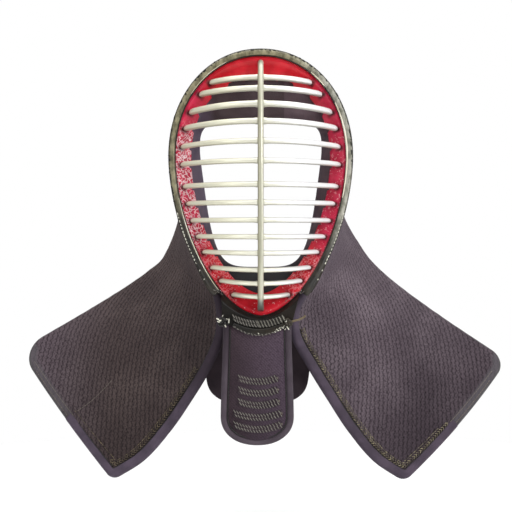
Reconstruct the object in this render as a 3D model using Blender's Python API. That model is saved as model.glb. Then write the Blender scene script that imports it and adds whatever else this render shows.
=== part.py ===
"""Kendo head guard: a barred face grille in a lacquered rim, a quilted hood with side flaps, throat guards.

Metres, +Z up. The face looks along -Y, so +X is on a viewer's right. The origin is where the crown of a
head meets the inside of the hood.
"""

import math
from dataclasses import dataclass

import bmesh
import bpy
from mathutils import Vector

CLEARANCE = 0.0003
SEAM_CLEARANCE = 0.0010

# Quilted cloth of the hood and its flaps
HOOD_THICKNESS = 0.0075
CROWN_RISE = 0.006
HOOD_HALF_WIDTH = 0.1035
HOOD_DEPTH = 0.110
CROWN_BACK_DROP = 0.001
FLAP_BOW = 0.008
HEM_ROUNDING = 0.0025
RIM_SEAM_GAP = 0.0006
SLANT_ALLOWANCE = 1.2
SETBACK_FADE = 0.2
CURVE_STEP = 0.02
BINDING_WIDTH = 0.0095
BINDING_STEP_SHARE = 0.46

# Face opening: the inner edge of the rim
OPENING_HALF_WIDTH = 0.0963
OPENING_RISE = 0.1103
OPENING_FALL = 0.1765
OPENING_SIDE_Y = -0.045
OPENING_TOP_Y = -0.070
OPENING_CHIN_Y = -0.078

# Lacquered bead round the opening
RIM_WIDTH = 0.008
RIM_DEPTH = 0.012
RIM_END_DEGREES = 150
RIM_STEP_DEGREES = 5
RIM_END_FLARE = 0.45
RIM_FLARE_LENGTH_SHARE = 0.13
# Shares of the bead's width outwards and of its half depth backwards
RIM_SECTION = (
    (0.00, 1.00),
    (0.00, -0.35),
    (0.18, -0.85),
    (0.50, -1.00),
    (0.82, -0.85),
    (1.00, -0.35),
    (1.00, 1.00),
)

# Red band inside the rim
BAND_SIDE = 0.0174
BAND_TOP = 0.0248
BAND_CHIN = 0.0235
BAND_RECESS = 0.012
BAND_LEVEL_SHIFT = -0.0027
LINING_THICKNESS = 0.003
NOTCH_DEPTH = 0.0030
NOTCH_HALF_HEIGHT = 0.0024
NOTCH_SIDE = 0.0004
NOTCH_DROP = 0.0016
BAND_CROWN_STEPS = 5
BAND_CHIN_STEPS = 3

# Padded ring behind the band
PAD_SIDE = 0.0254
PAD_TOP = 0.0648
PAD_CHIN = 0.0505
PAD_TAPER = 0.25
PAD_RECESS = 0.034
PAD_LEVEL_SHIFT = 0.0044
PAD_LIP_DEPTH = 0.017
PAD_BACK_RECESS = 0.045
PAD_OUTER_INSET = 0.0050
PAD_LIP_ROUNDING = 0.25
PAD_SEAT_SHARE = 0.55
PAD_STEPS = 54

# Grille bars
CROSS_BAR_HALF_DEPTH = 0.0040
CROSS_BAR_HALF_HEIGHT = 0.0029
CROSS_BAR_BOW_POWER = 2.2
UPRIGHT_HALF_WIDTH = 0.0032
UPRIGHT_HALF_DEPTH = 0.0042
UPRIGHT_STANDS_FORWARD = 0.0030
UPRIGHT_FOOT_FLARE = 0.35
UPRIGHT_FLARE_START = 0.86
UPRIGHT_FLARE_LENGTH = 0.10
UPRIGHT_SQUARENESS = 2.4
UPRIGHT_FULLNESS = 1.8
GRILLE_BULGE = 0.038
BAR_INSET = 0.0078
BAR_SEAT_GAP = 0.0006
BAR_END_CROWDING = 0.5
SEAT_STEP_DEGREES = 1.5
BAR_SIDES = 8
BAR_STEPS = 12
UPRIGHT_STEPS = 26

# Chin piece, its braid, lace and knots
CHIN_FRONT_Y = -0.0895
CHIN_BACK_Y = -0.066
CHIN_HALF_WIDTH = OPENING_HALF_WIDTH * 0.3988
CHIN_CORNER_DROP = 0.0075
CHIN_SMILE = 0.0070
CHIN_START_DEGREES = 0.4
CHIN_COLUMNS = 12
CHIN_ROWS = (0.0, 0.15, 0.30, 0.65, 1.0)
CHIN_BULGE_SHARE = 0.3
BRAID_HALF_LENGTH = 0.0284
BRAID_HALF_HEIGHT = 0.0038
BRAID_HALF_THICKNESS = 0.0015
BRAID_SMILE = 0.0070
BRAID_DROP = 0.0088
BRAID_STEPS = 14
BRAID_END_POWER = 8
BRAID_END_NARROWING = 0.7
LACING_HALF_LENGTH = 0.0282
LACING_SMILE = 0.0100
LACING_DROP = 0.0210
LACING_HALF_HEIGHT = 0.0019
LACING_HALF_THICKNESS = 0.0014
LACING_SCALLOPS = 11
LACING_STEPS = LACING_SCALLOPS * 3
LACING_WAIST = 0.65
KNOT_RADIUS = 0.0046
KNOT_HALF_DEPTH = 0.0032
KNOT_SLICES = (-0.96, -0.72, -0.30, 0.30, 0.72, 0.96)
LACE_RADIUS = 0.0012
# Outwards, backwards and upwards from the side of the right knot
LACE_END_PATH = (
    Vector((0.004, 0.000, 0.002)),
    Vector((0.013, 0.002, 0.006)),
    Vector((0.028, 0.008, 0.005)),
)

# Throat guards
THROAT_SHIFT = -0.0038
THROAT_TOP_HALF_WIDTH = 0.0376
THROAT_LOW_HALF_WIDTH = 0.0404
THROAT_LENGTH = 0.1345
THROAT_ROUNDING = 0.0320
THROAT_THICKNESS = 0.009
THROAT_LEAN = 0.035
THROAT_TOP_DROP = 0.0014
THROAT_SIDE_STEPS = 6
THROAT_TURN_STEPS = 7
THROAT_TURN_POWER = 2.2
THROAT_WIDENING = 0.9
THROAT_COLUMNS = 10
THROAT_EDGE_FALL = 0.0006
PIPING_WIDTH = 0.0078
INNER_GUARD_HALF_WIDTH = 0.0590
INNER_GUARD_NECK_HALF_WIDTH = 0.0330
INNER_GUARD_LENGTH = 0.0995
INNER_GUARD_TOP_DROP = 0.003
INNER_GUARD_THICKNESS = 0.004
INNER_GUARD_SETBACK = 0.030


@dataclass
class BarRow:
    """Where a cross bar's ends lie and how much higher its middle is, in shares of the opening's height."""

    level: float
    rise: float
    thickness: float


# Downwards from the top of the opening; thickness is a share of the cross bars' height
CROSS_BARS = (
    BarRow(level=0.096, rise=0.008, thickness=1.08),
    BarRow(level=0.140, rise=0.008, thickness=1.12),
    BarRow(level=0.208, rise=0.015, thickness=1.20),
    BarRow(level=0.271, rise=0.011, thickness=1.15),
    BarRow(level=0.343, rise=0.007, thickness=1.08),
    BarRow(level=0.413, rise=0.002, thickness=1.04),
    BarRow(level=0.500, rise=0.000, thickness=1.04),
    BarRow(level=0.568, rise=-0.001, thickness=1.00),
    BarRow(level=0.635, rise=0.000, thickness=0.96),
    BarRow(level=0.698, rise=0.000, thickness=0.96),
    BarRow(level=0.758, rise=-0.002, thickness=0.94),
    BarRow(level=0.818, rise=-0.006, thickness=0.92),
    BarRow(level=0.869, rise=-0.007, thickness=0.90),
    BarRow(level=0.922, rise=-0.006, thickness=0.90),
)


@dataclass
class FlapSide:
    """One flap's corners, where its back edge passes the jaw and where its front and back tips would be if
    they weren't rounded, and how its edges bend: how far the back edge sags, the front edge is tucked in
    behind the chin, and the end bulges."""

    sign: int
    jaw: Vector
    front_tip: Vector
    back_tip: Vector
    tip_radius: float
    sag: float
    tuck: float
    end_bulge: float


LEFT = FlapSide(
    sign=-1,
    jaw=Vector((0.1185, 0.092, -0.2317)),
    front_tip=Vector((0.1713, -0.019, -0.4878)),
    back_tip=Vector((0.2928, 0.049, -0.3456)),
    tip_radius=0.031,
    sag=0.0020,
    tuck=0.0013,
    end_bulge=0.0020,
)
RIGHT = FlapSide(
    sign=1,
    jaw=Vector((0.1265, 0.092, -0.2250)),
    front_tip=Vector((0.1661, -0.019, -0.4893)),
    back_tip=Vector((0.2990, 0.048, -0.3576)),
    tip_radius=0.021,
    sag=0.0036,
    tuck=0.0062,
    end_bulge=0.0048,
)
TUCK_FADE = 0.15
FRONT_TIP_RADIUS = 0.009
END_BULGE_SPAN = 0.6


@dataclass
class HoodRow:
    """Back edge over the head, in shares of the hood's half width, its depth and the drop to the jaw."""

    station: float
    across: float
    behind: float
    down: float
    bow: float


HOOD_ROWS = (
    HoodRow(station=0.2, across=0.502, behind=0.836, down=0.075, bow=0.60),
    HoodRow(station=0.4, across=0.855, behind=0.936, down=0.262, bow=0.50),
    HoodRow(station=0.6, across=0.976, behind=1.000, down=0.508, bow=0.50),
    HoodRow(station=0.8, across=0.960, behind=0.964, down=0.770, bow=0.40),
)
CROWN_BACK_SHARE = 0.773
JAW_BOW = 0.40


@dataclass
class FlapRow:
    """Points of a flap's front and back edges, in shares of the way from each edge's start to its tip."""

    station: float
    front: tuple
    back: tuple
    bow: float


# Shares across, behind and down; the front edge starts at the chin and the back edge at the jaw
FLAP_ROWS = (
    FlapRow(station=1.20, front=(0.000, 0.000, 0.000), back=(0.120, 0.115, 0.174), bow=0.50),
    FlapRow(station=1.40, front=(0.008, -0.007, 0.140), back=(0.278, 0.280, 0.339), bow=0.75),
    FlapRow(station=1.60, front=(0.115, 0.115, 0.320), back=(0.440, 0.450, 0.490), bow=1.00),
    FlapRow(station=1.80, front=(0.275, 0.315, 0.500), back=(0.600, 0.620, 0.635), bow=1.00),
    FlapRow(station=2.00, front=(0.470, 0.565, 0.690), back=(0.748, 0.765, 0.767), bow=0.85),
    FlapRow(station=2.20, front=(0.715, 0.803, 0.875), back=(0.887, 0.900, 0.894), bow=0.60),
    FlapRow(station=2.35, front=(1.000, 1.000, 1.000), back=(1.000, 1.000, 1.000), bow=0.40),
)
RIM_END_STATION = 1.0
FLAP_END = FLAP_ROWS[-1].station
STATION_TOLERANCE = 1e-6
RIM_STATIONS = 15
FLAP_STATIONS = 15


@dataclass
class Loop:
    """A closed egg-shaped curve round the face, lying deeper at its sides than at its top and chin. A taper
    narrows its lower half evenly, by that share of its width at its lowest point."""

    half_width: float
    level: float
    rise: float
    fall: float
    upper_power: float
    lower_power: float
    side_y: float
    top_y: float
    chin_y: float
    taper: float = 0.0

    def point(self, angle):
        """The point at an angle from the top, turning towards +X."""
        across = math.sin(angle)
        along = math.cos(angle)
        upper = along >= 0
        power = self.upper_power if upper else self.lower_power
        reach = self.rise if upper else self.fall
        share = math.copysign(abs(along) ** (2 / power), along)
        end_y = self.top_y if upper else self.chin_y
        width = self.half_width * (1 + self.taper * min(share, 0.0))
        return Vector(
            (
                math.copysign(abs(across) ** (2 / power), across) * width,
                self.side_y + (end_y - self.side_y) * share**2,
                self.level + reach * share,
            )
        )

    def inside(self, side, top, chin, level_shift, recess, powers, taper=0.0):
        """The loop that lies this far inside this one and this much deeper."""
        level = self.level + level_shift
        return Loop(
            half_width=self.half_width - side,
            level=level,
            rise=self.level + self.rise - top - level,
            fall=level - (self.level - self.fall + chin),
            upper_power=powers[0],
            lower_power=powers[1],
            side_y=self.side_y + recess,
            top_y=self.top_y + recess,
            chin_y=self.chin_y + recess,
            taper=taper,
        )


# How square each loop is, above and below its level: 2 is an ellipse, more is squarer
OPENING_POWERS = (2.08, 1.75)
BAND_POWERS = (2.3, 1.75)
PAD_POWERS = (4.0, 4.5)

OPENING_TOP_Z = HOOD_THICKNESS / 2 - CROWN_RISE - RIM_WIDTH / 2
OPENING = Loop(
    half_width=OPENING_HALF_WIDTH,
    level=OPENING_TOP_Z - OPENING_RISE,
    rise=OPENING_RISE,
    fall=OPENING_FALL,
    upper_power=OPENING_POWERS[0],
    lower_power=OPENING_POWERS[1],
    side_y=OPENING_SIDE_Y,
    top_y=OPENING_TOP_Y,
    chin_y=OPENING_CHIN_Y,
)
BAND_EDGE = OPENING.inside(BAND_SIDE, BAND_TOP, BAND_CHIN, BAND_LEVEL_SHIFT, BAND_RECESS, BAND_POWERS)
PAD_EDGE = OPENING.inside(
    PAD_SIDE, PAD_TOP, PAD_CHIN, PAD_LEVEL_SHIFT, PAD_RECESS, PAD_POWERS, PAD_TAPER
)
RIM_END = math.radians(RIM_END_DEGREES)
CHIN_Z = OPENING.point(math.pi).z
BACKWARDS = Vector((0, 1, 0))
RIGHTWARDS = Vector((1, 0, 0))
UPWARDS = Vector((0, 0, 1))


def mix(a, b, share):
    return a + (b - a) * share


def smooth_step(share):
    share = min(max(share, 0.0), 1.0)
    return share * share * (3 - 2 * share)


def along_opening(angle):
    """Direction of the opening's edge at an angle, turning towards +X at the top."""
    step = math.radians(0.5)
    return (OPENING.point(angle + step) - OPENING.point(angle - step)).normalized()


def out_of_opening(angle):
    """Direction in the XZ plane that points away from the face, square to the opening's edge."""
    along = along_opening(angle)
    return Vector((-along.z, 0, along.x)).normalized()


def material(name, colour, roughness, metallic=0.0):
    made = bpy.data.materials.new(name)
    made.use_nodes = True
    shader = made.node_tree.nodes["Principled BSDF"]
    shader.inputs["Base Color"].default_value = (*colour, 1)
    shader.inputs["Roughness"].default_value = roughness
    shader.inputs["Metallic"].default_value = metallic
    return made


def place(name, points, faces, finish):
    """A mesh object of these points and faces, with its faces turned outwards."""
    mesh = bpy.data.meshes.new(name)
    mesh.from_pydata([tuple(point) for point in points], [], faces)
    body = bmesh.new()
    body.from_mesh(mesh)
    bmesh.ops.recalc_face_normals(body, faces=body.faces)
    body.to_mesh(mesh)
    body.free()
    mesh.shade_smooth()
    mesh.set_sharp_from_angle(angle=math.radians(40))
    mesh.materials.append(finish)
    made = bpy.data.objects.new(name, mesh)
    bpy.context.scene.collection.objects.link(made)
    return made


def loft(name, rings, finish, closed=False):
    """A body through rings of equal count, run round to the first or capped at its ends."""
    count = len(rings[0])
    points = [point for ring in rings for point in ring]
    spans = len(rings) if closed else len(rings) - 1
    faces = []
    for i in range(spans):
        here = i * count
        there = (i + 1) % len(rings) * count
        for j in range(count):
            k = (j + 1) % count
            faces.append((here + j, here + k, there + k, there + j))
    if not closed:
        last = (len(rings) - 1) * count
        faces.append(tuple(range(count)))
        faces.append(tuple(range(last, last + count)))
    return place(name, points, faces, finish)


def slab(name, front, back, finish):
    """A body between two grids of points, given as equal lists of rows."""
    rows = len(front)
    columns = len(front[0])
    points = [point for row in front for point in row] + [point for row in back for point in row]
    behind = rows * columns

    def number(row, column):
        return row * columns + column

    faces = []
    for row in range(rows - 1):
        for column in range(columns - 1):
            corners = (
                number(row, column),
                number(row, column + 1),
                number(row + 1, column + 1),
                number(row + 1, column),
            )
            faces.append(corners)
            faces.append(tuple(behind + corner for corner in reversed(corners)))
    edge = [number(0, column) for column in range(columns)]
    edge += [number(row, columns - 1) for row in range(1, rows)]
    edge += [number(rows - 1, column) for column in range(columns - 2, -1, -1)]
    edge += [number(row, 0) for row in range(rows - 2, 0, -1)]
    for here, there in zip(edge, edge[1:] + edge[:1]):
        faces.append((here, there, behind + there, behind + here))
    return place(name, points, faces, finish)


def oval(centre, wide, tall, sides=BAR_SIDES):
    """A ring of points round a centre, through two half axes."""
    turns = [2 * math.pi * (i + 0.5) / sides for i in range(sides)]
    return [centre + wide * math.cos(turn) + tall * math.sin(turn) for turn in turns]


def rim_width(angle):
    """The bead's width, growing towards its two ends at the chin."""
    flare_length = RIM_END * RIM_FLARE_LENGTH_SHARE
    near_end = smooth_step((abs(angle) - RIM_END + flare_length) / flare_length)
    return RIM_WIDTH * (1 + RIM_END_FLARE * near_end)


def make_rim(finish):
    deep = BACKWARDS * RIM_DEPTH / 2
    rings = []
    for degrees in range(-RIM_END_DEGREES, RIM_END_DEGREES + 1, RIM_STEP_DEGREES):
        angle = math.radians(degrees)
        out = out_of_opening(angle) * rim_width(angle)
        edge = OPENING.point(angle)
        rings.append([edge + out * across + deep * behind for across, behind in RIM_SECTION])
    return loft("rim", rings, finish)


def bar_level(row):
    """Height of a cross bar's ends."""
    return OPENING_TOP_Z - row.level * (OPENING.rise + OPENING.fall)


def band_front(angle, share):
    """The red band's front surface, from the rim at share 0 to its inner edge at share 1."""
    outer = OPENING.point(angle) - out_of_opening(angle) * CLEARANCE - BACKWARDS * CLEARANCE * 3
    return mix(outer, BAND_EDGE.point(angle), share)


def angle_where(height_at, level):
    """The angle on the +X side where a height that falls with the angle meets this level."""
    low = 0.0
    high = math.pi
    for _ in range(40):
        middle = (low + high) / 2
        if height_at(middle) > level:
            low = middle
        else:
            high = middle
    return low


def band_stations():
    """Angles down the +X side of the band, each with how far its inner edge is cut back there."""
    stations = []
    for row in CROSS_BARS:
        middle = bar_level(row) - NOTCH_DROP
        sides = (
            (NOTCH_HALF_HEIGHT + NOTCH_SIDE, 0.0),
            (NOTCH_HALF_HEIGHT, NOTCH_DEPTH),
            (-NOTCH_HALF_HEIGHT, NOTCH_DEPTH),
            (-NOTCH_HALF_HEIGHT - NOTCH_SIDE, 0.0),
        )
        angles = [angle_where(lambda turn: BAND_EDGE.point(turn).z, middle + side[0]) for side in sides]
        if stations:
            stations.append((mix(stations[-1][0], angles[0], 0.5), 0.0))
        stations += [(angle, side[1]) for angle, side in zip(angles, sides)]
    first = stations[0][0]
    last = stations[-1][0]
    crown = [(first * i / BAND_CROWN_STEPS, 0.0) for i in range(BAND_CROWN_STEPS)]
    chin = [(mix(last, math.pi, (i + 1) / BAND_CHIN_STEPS), 0.0) for i in range(BAND_CHIN_STEPS)]
    return crown + stations + chin


def make_lining(finish):
    """The red band, with a notch in its inner edge behind each bar's end."""
    right = band_stations()
    left = [(2 * math.pi - angle, cut) for angle, cut in reversed(right[1:-1])]
    back = BACKWARDS * LINING_THICKNESS
    rings = []
    for angle, cut in right + left:
        width = (band_front(angle, 0) - band_front(angle, 1)).length
        front = [band_front(angle, 0), band_front(angle, 1 - cut / width)]
        rings.append(front + [point + back for point in reversed(front)])
    return loft("rim_lining", rings, finish, closed=True)


def make_face_pad(finish):
    """The padded ring: a rounded lip round the face, running forwards and out to the back of the band."""
    seat = BACKWARDS * (LINING_THICKNESS + CLEARANCE * 2)
    half_lip = PAD_LIP_DEPTH / 2
    rings = []
    for i in range(PAD_STEPS):
        angle = 2 * math.pi * i / PAD_STEPS
        out = out_of_opening(angle)
        edge = OPENING.point(angle)
        lip = PAD_EDGE.point(angle)
        lip_round = out * half_lip * PAD_LIP_ROUNDING
        rings.append(
            [
                band_front(angle, PAD_SEAT_SHARE) + seat,
                band_front(angle, 1.0) + seat,
                lip + lip_round - BACKWARDS * half_lip,
                lip,
                lip + lip_round + BACKWARDS * half_lip,
                edge - out * PAD_OUTER_INSET * 2 + BACKWARDS * PAD_BACK_RECESS,
                edge - out * PAD_OUTER_INSET + BACKWARDS * PAD_RECESS,
            ]
        )
    return loft("face_pad", rings, finish, closed=True)


def bar_seat(angle):
    """Where a bar's end meets the red band at an angle, and the band's own forward direction there."""
    band_width = (OPENING.point(angle) - BAND_EDGE.point(angle)).length
    share = BAR_INSET / band_width
    seat = band_front(angle, share)
    step = math.radians(SEAT_STEP_DEGREES)
    along = band_front(angle + step, share) - band_front(angle - step, share)
    across = band_front(angle, 1) - band_front(angle, 0)
    forward = across.cross(along).normalized()
    if forward.y > 0:
        forward = -forward
    return seat, forward


def trim_to_band(ring, direction, seat, forward):
    """The ring's points slid along a direction on to a plane that lies just in front of the band."""
    plane = seat + forward * BAR_SEAT_GAP
    slope = direction.dot(forward)
    return [point + direction * ((plane - point).dot(forward) / slope) for point in ring]


def upright_y(z):
    """Depth of the upright bar's middle line at a height, on a bowed curve between its two ends."""
    top = bar_seat(0.0)[0]
    foot = bar_seat(math.pi)[0]
    middle = (top.z + foot.z) / 2
    half = (top.z - foot.z) / 2
    share = min(abs((z - middle) / half), 1.0)
    base = mix(foot.y, top.y, (z - foot.z) / (top.z - foot.z))
    return base - GRILLE_BULGE * (1 - share**UPRIGHT_SQUARENESS) ** (1 / UPRIGHT_FULLNESS)


def make_upright(finish):
    top, top_forward = bar_seat(0.0)
    foot, foot_forward = bar_seat(math.pi)
    middle = (top.z + foot.z) / 2
    half = (top.z - foot.z) / 2
    path = []
    for i in range(UPRIGHT_STEPS + 1):
        turn = math.pi * i / UPRIGHT_STEPS
        along = math.cos(turn)
        z = middle + half * math.copysign(abs(along) ** (2 / UPRIGHT_SQUARENESS), along)
        path.append(Vector((0, upright_y(z), z)))
    rings = []
    for i, point in enumerate(path):
        ahead = path[min(i + 1, UPRIGHT_STEPS)] - path[max(i - 1, 0)]
        forward = RIGHTWARDS.cross(ahead).normalized()
        near_foot = smooth_step((i / UPRIGHT_STEPS - UPRIGHT_FLARE_START) / UPRIGHT_FLARE_LENGTH)
        flare = 1 + UPRIGHT_FOOT_FLARE * near_foot
        wide = RIGHTWARDS * UPRIGHT_HALF_WIDTH * flare
        rings.append(oval(point, wide, forward * UPRIGHT_HALF_DEPTH))
    rings[0] = trim_to_band(rings[0], (path[0] - path[1]).normalized(), top, top_forward)
    rings[-1] = trim_to_band(rings[-1], (path[-1] - path[-2]).normalized(), foot, foot_forward)
    return loft("grille", rings, finish)


def cross_bar_path(row):
    """The bar's middle line from its -X end to its +X end, and its two seats on the band."""
    level = bar_level(row)
    angle = angle_where(lambda turn: bar_seat(turn)[0].z, level)
    right_seat, right_forward = bar_seat(angle)
    left_seat, left_forward = bar_seat(-angle)
    middle_z = level + row.rise * (OPENING.rise + OPENING.fall)
    middle_y = upright_y(middle_z) + UPRIGHT_STANDS_FORWARD
    path = []
    for i in range(BAR_STEPS + 1):
        even = 2 * i / BAR_STEPS - 1
        across = mix(even, math.sin(math.pi / 2 * even), BAR_END_CROWDING)
        bow = 1 - abs(across) ** CROSS_BAR_BOW_POWER
        path.append(
            Vector(
                (
                    right_seat.x * across,
                    mix(right_seat.y, middle_y, bow),
                    mix(right_seat.z, middle_z, bow),
                )
            )
        )
    return path, (left_seat, left_forward), (right_seat, right_forward)


def make_cross_bar(number, row, finish):
    path, left, right = cross_bar_path(row)
    lift = (path[BAR_STEPS // 2] - path[0]).dot(UPWARDS)
    reach = (path[BAR_STEPS // 2] - path[0]).dot(-BACKWARDS)
    square = Vector((0, lift, reach)).normalized()
    rings = []
    for i, point in enumerate(path):
        ahead = path[min(i + 1, BAR_STEPS)] - path[max(i - 1, 0)]
        forward = ahead.cross(square).normalized()
        tall = square * CROSS_BAR_HALF_HEIGHT * row.thickness
        rings.append(oval(point, forward * CROSS_BAR_HALF_DEPTH, tall))
    rings[0] = trim_to_band(rings[0], (path[0] - path[1]).normalized(), *left)
    rings[-1] = trim_to_band(rings[-1], (path[-1] - path[-2]).normalized(), *right)
    bar = loft(f"cross_bar_{number:02d}_operand", rings, finish)
    bar.hide_render = True
    bar.display_type = "WIRE"
    return bar


def make_grille(finish):
    """The upright bar with every cross bar soldered to it."""
    grille = make_upright(finish)
    for number, row in enumerate(CROSS_BARS, start=1):
        solder = grille.modifiers.new(f"solder_{number:02d}", "BOOLEAN")
        solder.operation = "UNION"
        solder.solver = "EXACT"
        solder.object = make_cross_bar(number, row, finish)
    return grille


def on_side(point, side):
    return Vector((point.x * side.sign, point.y, point.z))


def rim_seam(angle):
    """Middle of the cloth's front edge where it is sewn behind the rim."""
    behind = BACKWARDS * (RIM_DEPTH / 2 + RIM_SEAM_GAP)
    return OPENING.point(angle) + out_of_opening(angle) * RIM_WIDTH / 2 + behind


def flap_start(side):
    """Where a flap's front edge tucks in behind the chin piece."""
    seam = rim_seam(RIM_END)
    return on_side(Vector((seam.x - RIM_WIDTH / 2, seam.y + CLEARANCE, CHIN_Z)), side)


def three_shares(start, end, across, behind, down):
    """A point between two others, with a share of the way for each axis."""
    return Vector((mix(start.x, end.x, across), mix(start.y, end.y, behind), mix(start.z, end.z, down)))


def front_rows(side):
    """Stations and points of a flap's free front edge."""
    start = flap_start(side)
    tip = on_side(side.front_tip, side)
    seam = rim_seam(RIM_END * side.sign)
    rows = [(RIM_END_STATION, seam)]
    for row in FLAP_ROWS:
        point = three_shares(start, tip, *row.front)
        point.x -= side.sign * side.tuck * max(0.0, 1 - row.front[0] / TUCK_FADE)
        rows.append((row.station, point))
    return rows


def back_rows(side):
    """Stations and points of the back edge, from beside the crown to the flap's outer tip."""
    jaw = on_side(side.jaw, side)
    tip = on_side(side.back_tip, side)
    crown_z = rim_seam(0.0).z
    rows = []
    for row in HOOD_ROWS:
        x = row.across * HOOD_HALF_WIDTH * side.sign
        rows.append((row.station, Vector((x, row.behind * HOOD_DEPTH, mix(crown_z, jaw.z, row.down)))))
    rows.append((RIM_END_STATION, jaw))
    for row in FLAP_ROWS:
        point = three_shares(jaw, tip, *row.back)
        point.z -= side.sag * 4 * row.back[0] * (1 - row.back[0])
        rows.append((row.station, point))
    return rows


def bow_rows():
    rows = [(0.0, CROWN_RISE)]
    rows += [(row.station, row.bow * FLAP_BOW) for row in HOOD_ROWS]
    rows.append((RIM_END_STATION, JAW_BOW * FLAP_BOW))
    rows += [(row.station, row.bow * FLAP_BOW) for row in FLAP_ROWS]
    return rows


def signed(rows, side):
    """The rows with their stations counted from the crown, negative on the -X side."""
    return [(station * side.sign, point) for station, point in rows]


def smooth_curve(rows, station):
    """The value at a station on a smooth curve through all rows."""
    last = len(rows) - 1
    i = 0
    while i < last - 1 and station > rows[i + 1][0]:
        i += 1

    def slope(k):
        low = max(k - 1, 0)
        high = min(k + 1, last)
        return (rows[high][1] - rows[low][1]) / (rows[high][0] - rows[low][0])

    span = rows[i + 1][0] - rows[i][0]
    t = (station - rows[i][0]) / span
    start = rows[i][1] * (2 * t**3 - 3 * t**2 + 1) + slope(i) * span * (t**3 - 2 * t**2 + t)
    end = rows[i + 1][1] * (3 * t**2 - 2 * t**3) + slope(i + 1) * span * (t**3 - t**2)
    return start + end


CROWN_BACK = Vector((0, CROWN_BACK_SHARE * HOOD_DEPTH, rim_seam(0.0).z - CROWN_BACK_DROP))
BACK_EDGE = (
    signed(back_rows(LEFT), LEFT)[::-1] + [(0.0, CROWN_BACK)] + signed(back_rows(RIGHT), RIGHT)
)
FRONT_EDGE = {side.sign: front_rows(side) for side in (LEFT, RIGHT)}
BOWS = bow_rows()


def cloth_back(station):
    return smooth_curve(BACK_EDGE, station)


def seam_setback(station):
    """How far the slanting cloth keeps back from the rim, so that its outer face clears the bead."""
    angle = RIM_END * station
    across = cloth_back(station) - rim_seam(angle)
    along = along_opening(angle)
    out = along.cross(across).normalized()
    across += out * smooth_curve(BOWS, abs(station)) * 4
    return abs(along.cross(across).normalized().y) * HOOD_THICKNESS / 2 * SLANT_ALLOWANCE


def cloth_front(station):
    if abs(station) <= RIM_END_STATION:
        return rim_seam(RIM_END * station) + BACKWARDS * seam_setback(station)
    sign = 1 if station > 0 else -1
    front = smooth_curve(FRONT_EDGE[sign], abs(station))
    fade = max(0.0, 1 - (abs(station) - RIM_END_STATION) / SETBACK_FADE)
    return front + BACKWARDS * seam_setback(sign * RIM_END_STATION) * fade


def end_bulge(station):
    """How far the cloth bulges towards a flap's end in the middle of its width, signed with the station."""
    side = RIGHT if station > 0 else LEFT
    grown = smooth_step((abs(station) - FLAP_END + END_BULGE_SPAN) / END_BULGE_SPAN)
    return math.copysign(side.end_bulge * grown, station)


def cloth_middle(station, share):
    """Middle surface of the cloth: station runs from tip to tip over the crown, share front to back."""
    front = cloth_front(station)
    back = cloth_back(station)
    low = max(station - CURVE_STEP * 2, -FLAP_END)
    high = min(station + CURVE_STEP * 2, FLAP_END)
    along = mix(cloth_front(high), cloth_back(high), 0.5) - mix(cloth_front(low), cloth_back(low), 0.5)
    out = along.cross(back - front).normalized()
    fullness = 4 * share * (1 - share)
    bow = out * smooth_curve(BOWS, abs(station)) + along.normalized() * end_bulge(station)
    return mix(front, back, share) + bow * fullness


def cloth_normal(station, share):
    """Direction out of the cloth, away from the head."""
    low = max(station - CURVE_STEP, -FLAP_END)
    high = min(station + CURVE_STEP, FLAP_END)
    near = max(share - CURVE_STEP, 0.0)
    far = min(share + CURVE_STEP, 1.0)
    along = cloth_middle(high, share) - cloth_middle(low, share)
    across = cloth_middle(station, far) - cloth_middle(station, near)
    return along.cross(across).normalized()


def cloth_width(station):
    return (cloth_back(station) - cloth_front(station)).length


def cloth_length_per_station(station):
    """Metres of cloth per station near a flap's end, along the line half way between its edges."""
    step = CURVE_STEP * 5
    inner = station - math.copysign(step, station)
    return (cloth_middle(station, 0.5) - cloth_middle(inner, 0.5)).length / step


def round_tip(station, share):
    """A place on the cloth, moved in so that the flaps' tips are round."""
    side = RIGHT if station > 0 else LEFT
    radius = FRONT_TIP_RADIUS if share < 0.5 else side.tip_radius
    edge = 0.0 if share < 0.5 else 1.0
    width = cloth_width(side.sign * FLAP_END)
    per_station = cloth_length_per_station(side.sign * FLAP_END)
    past_edge = 1 - abs(share - edge) * width / radius
    past_end = 1 - (FLAP_END - abs(station)) * per_station / radius
    if past_edge <= 0 or past_end <= 0:
        return station, share
    pull = max(past_edge, past_end) / math.hypot(past_edge, past_end)
    share = abs(edge - (1 - past_edge * pull) * radius / width)
    station = side.sign * (FLAP_END - (1 - past_end * pull) * radius / per_station)
    return station, share


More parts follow.
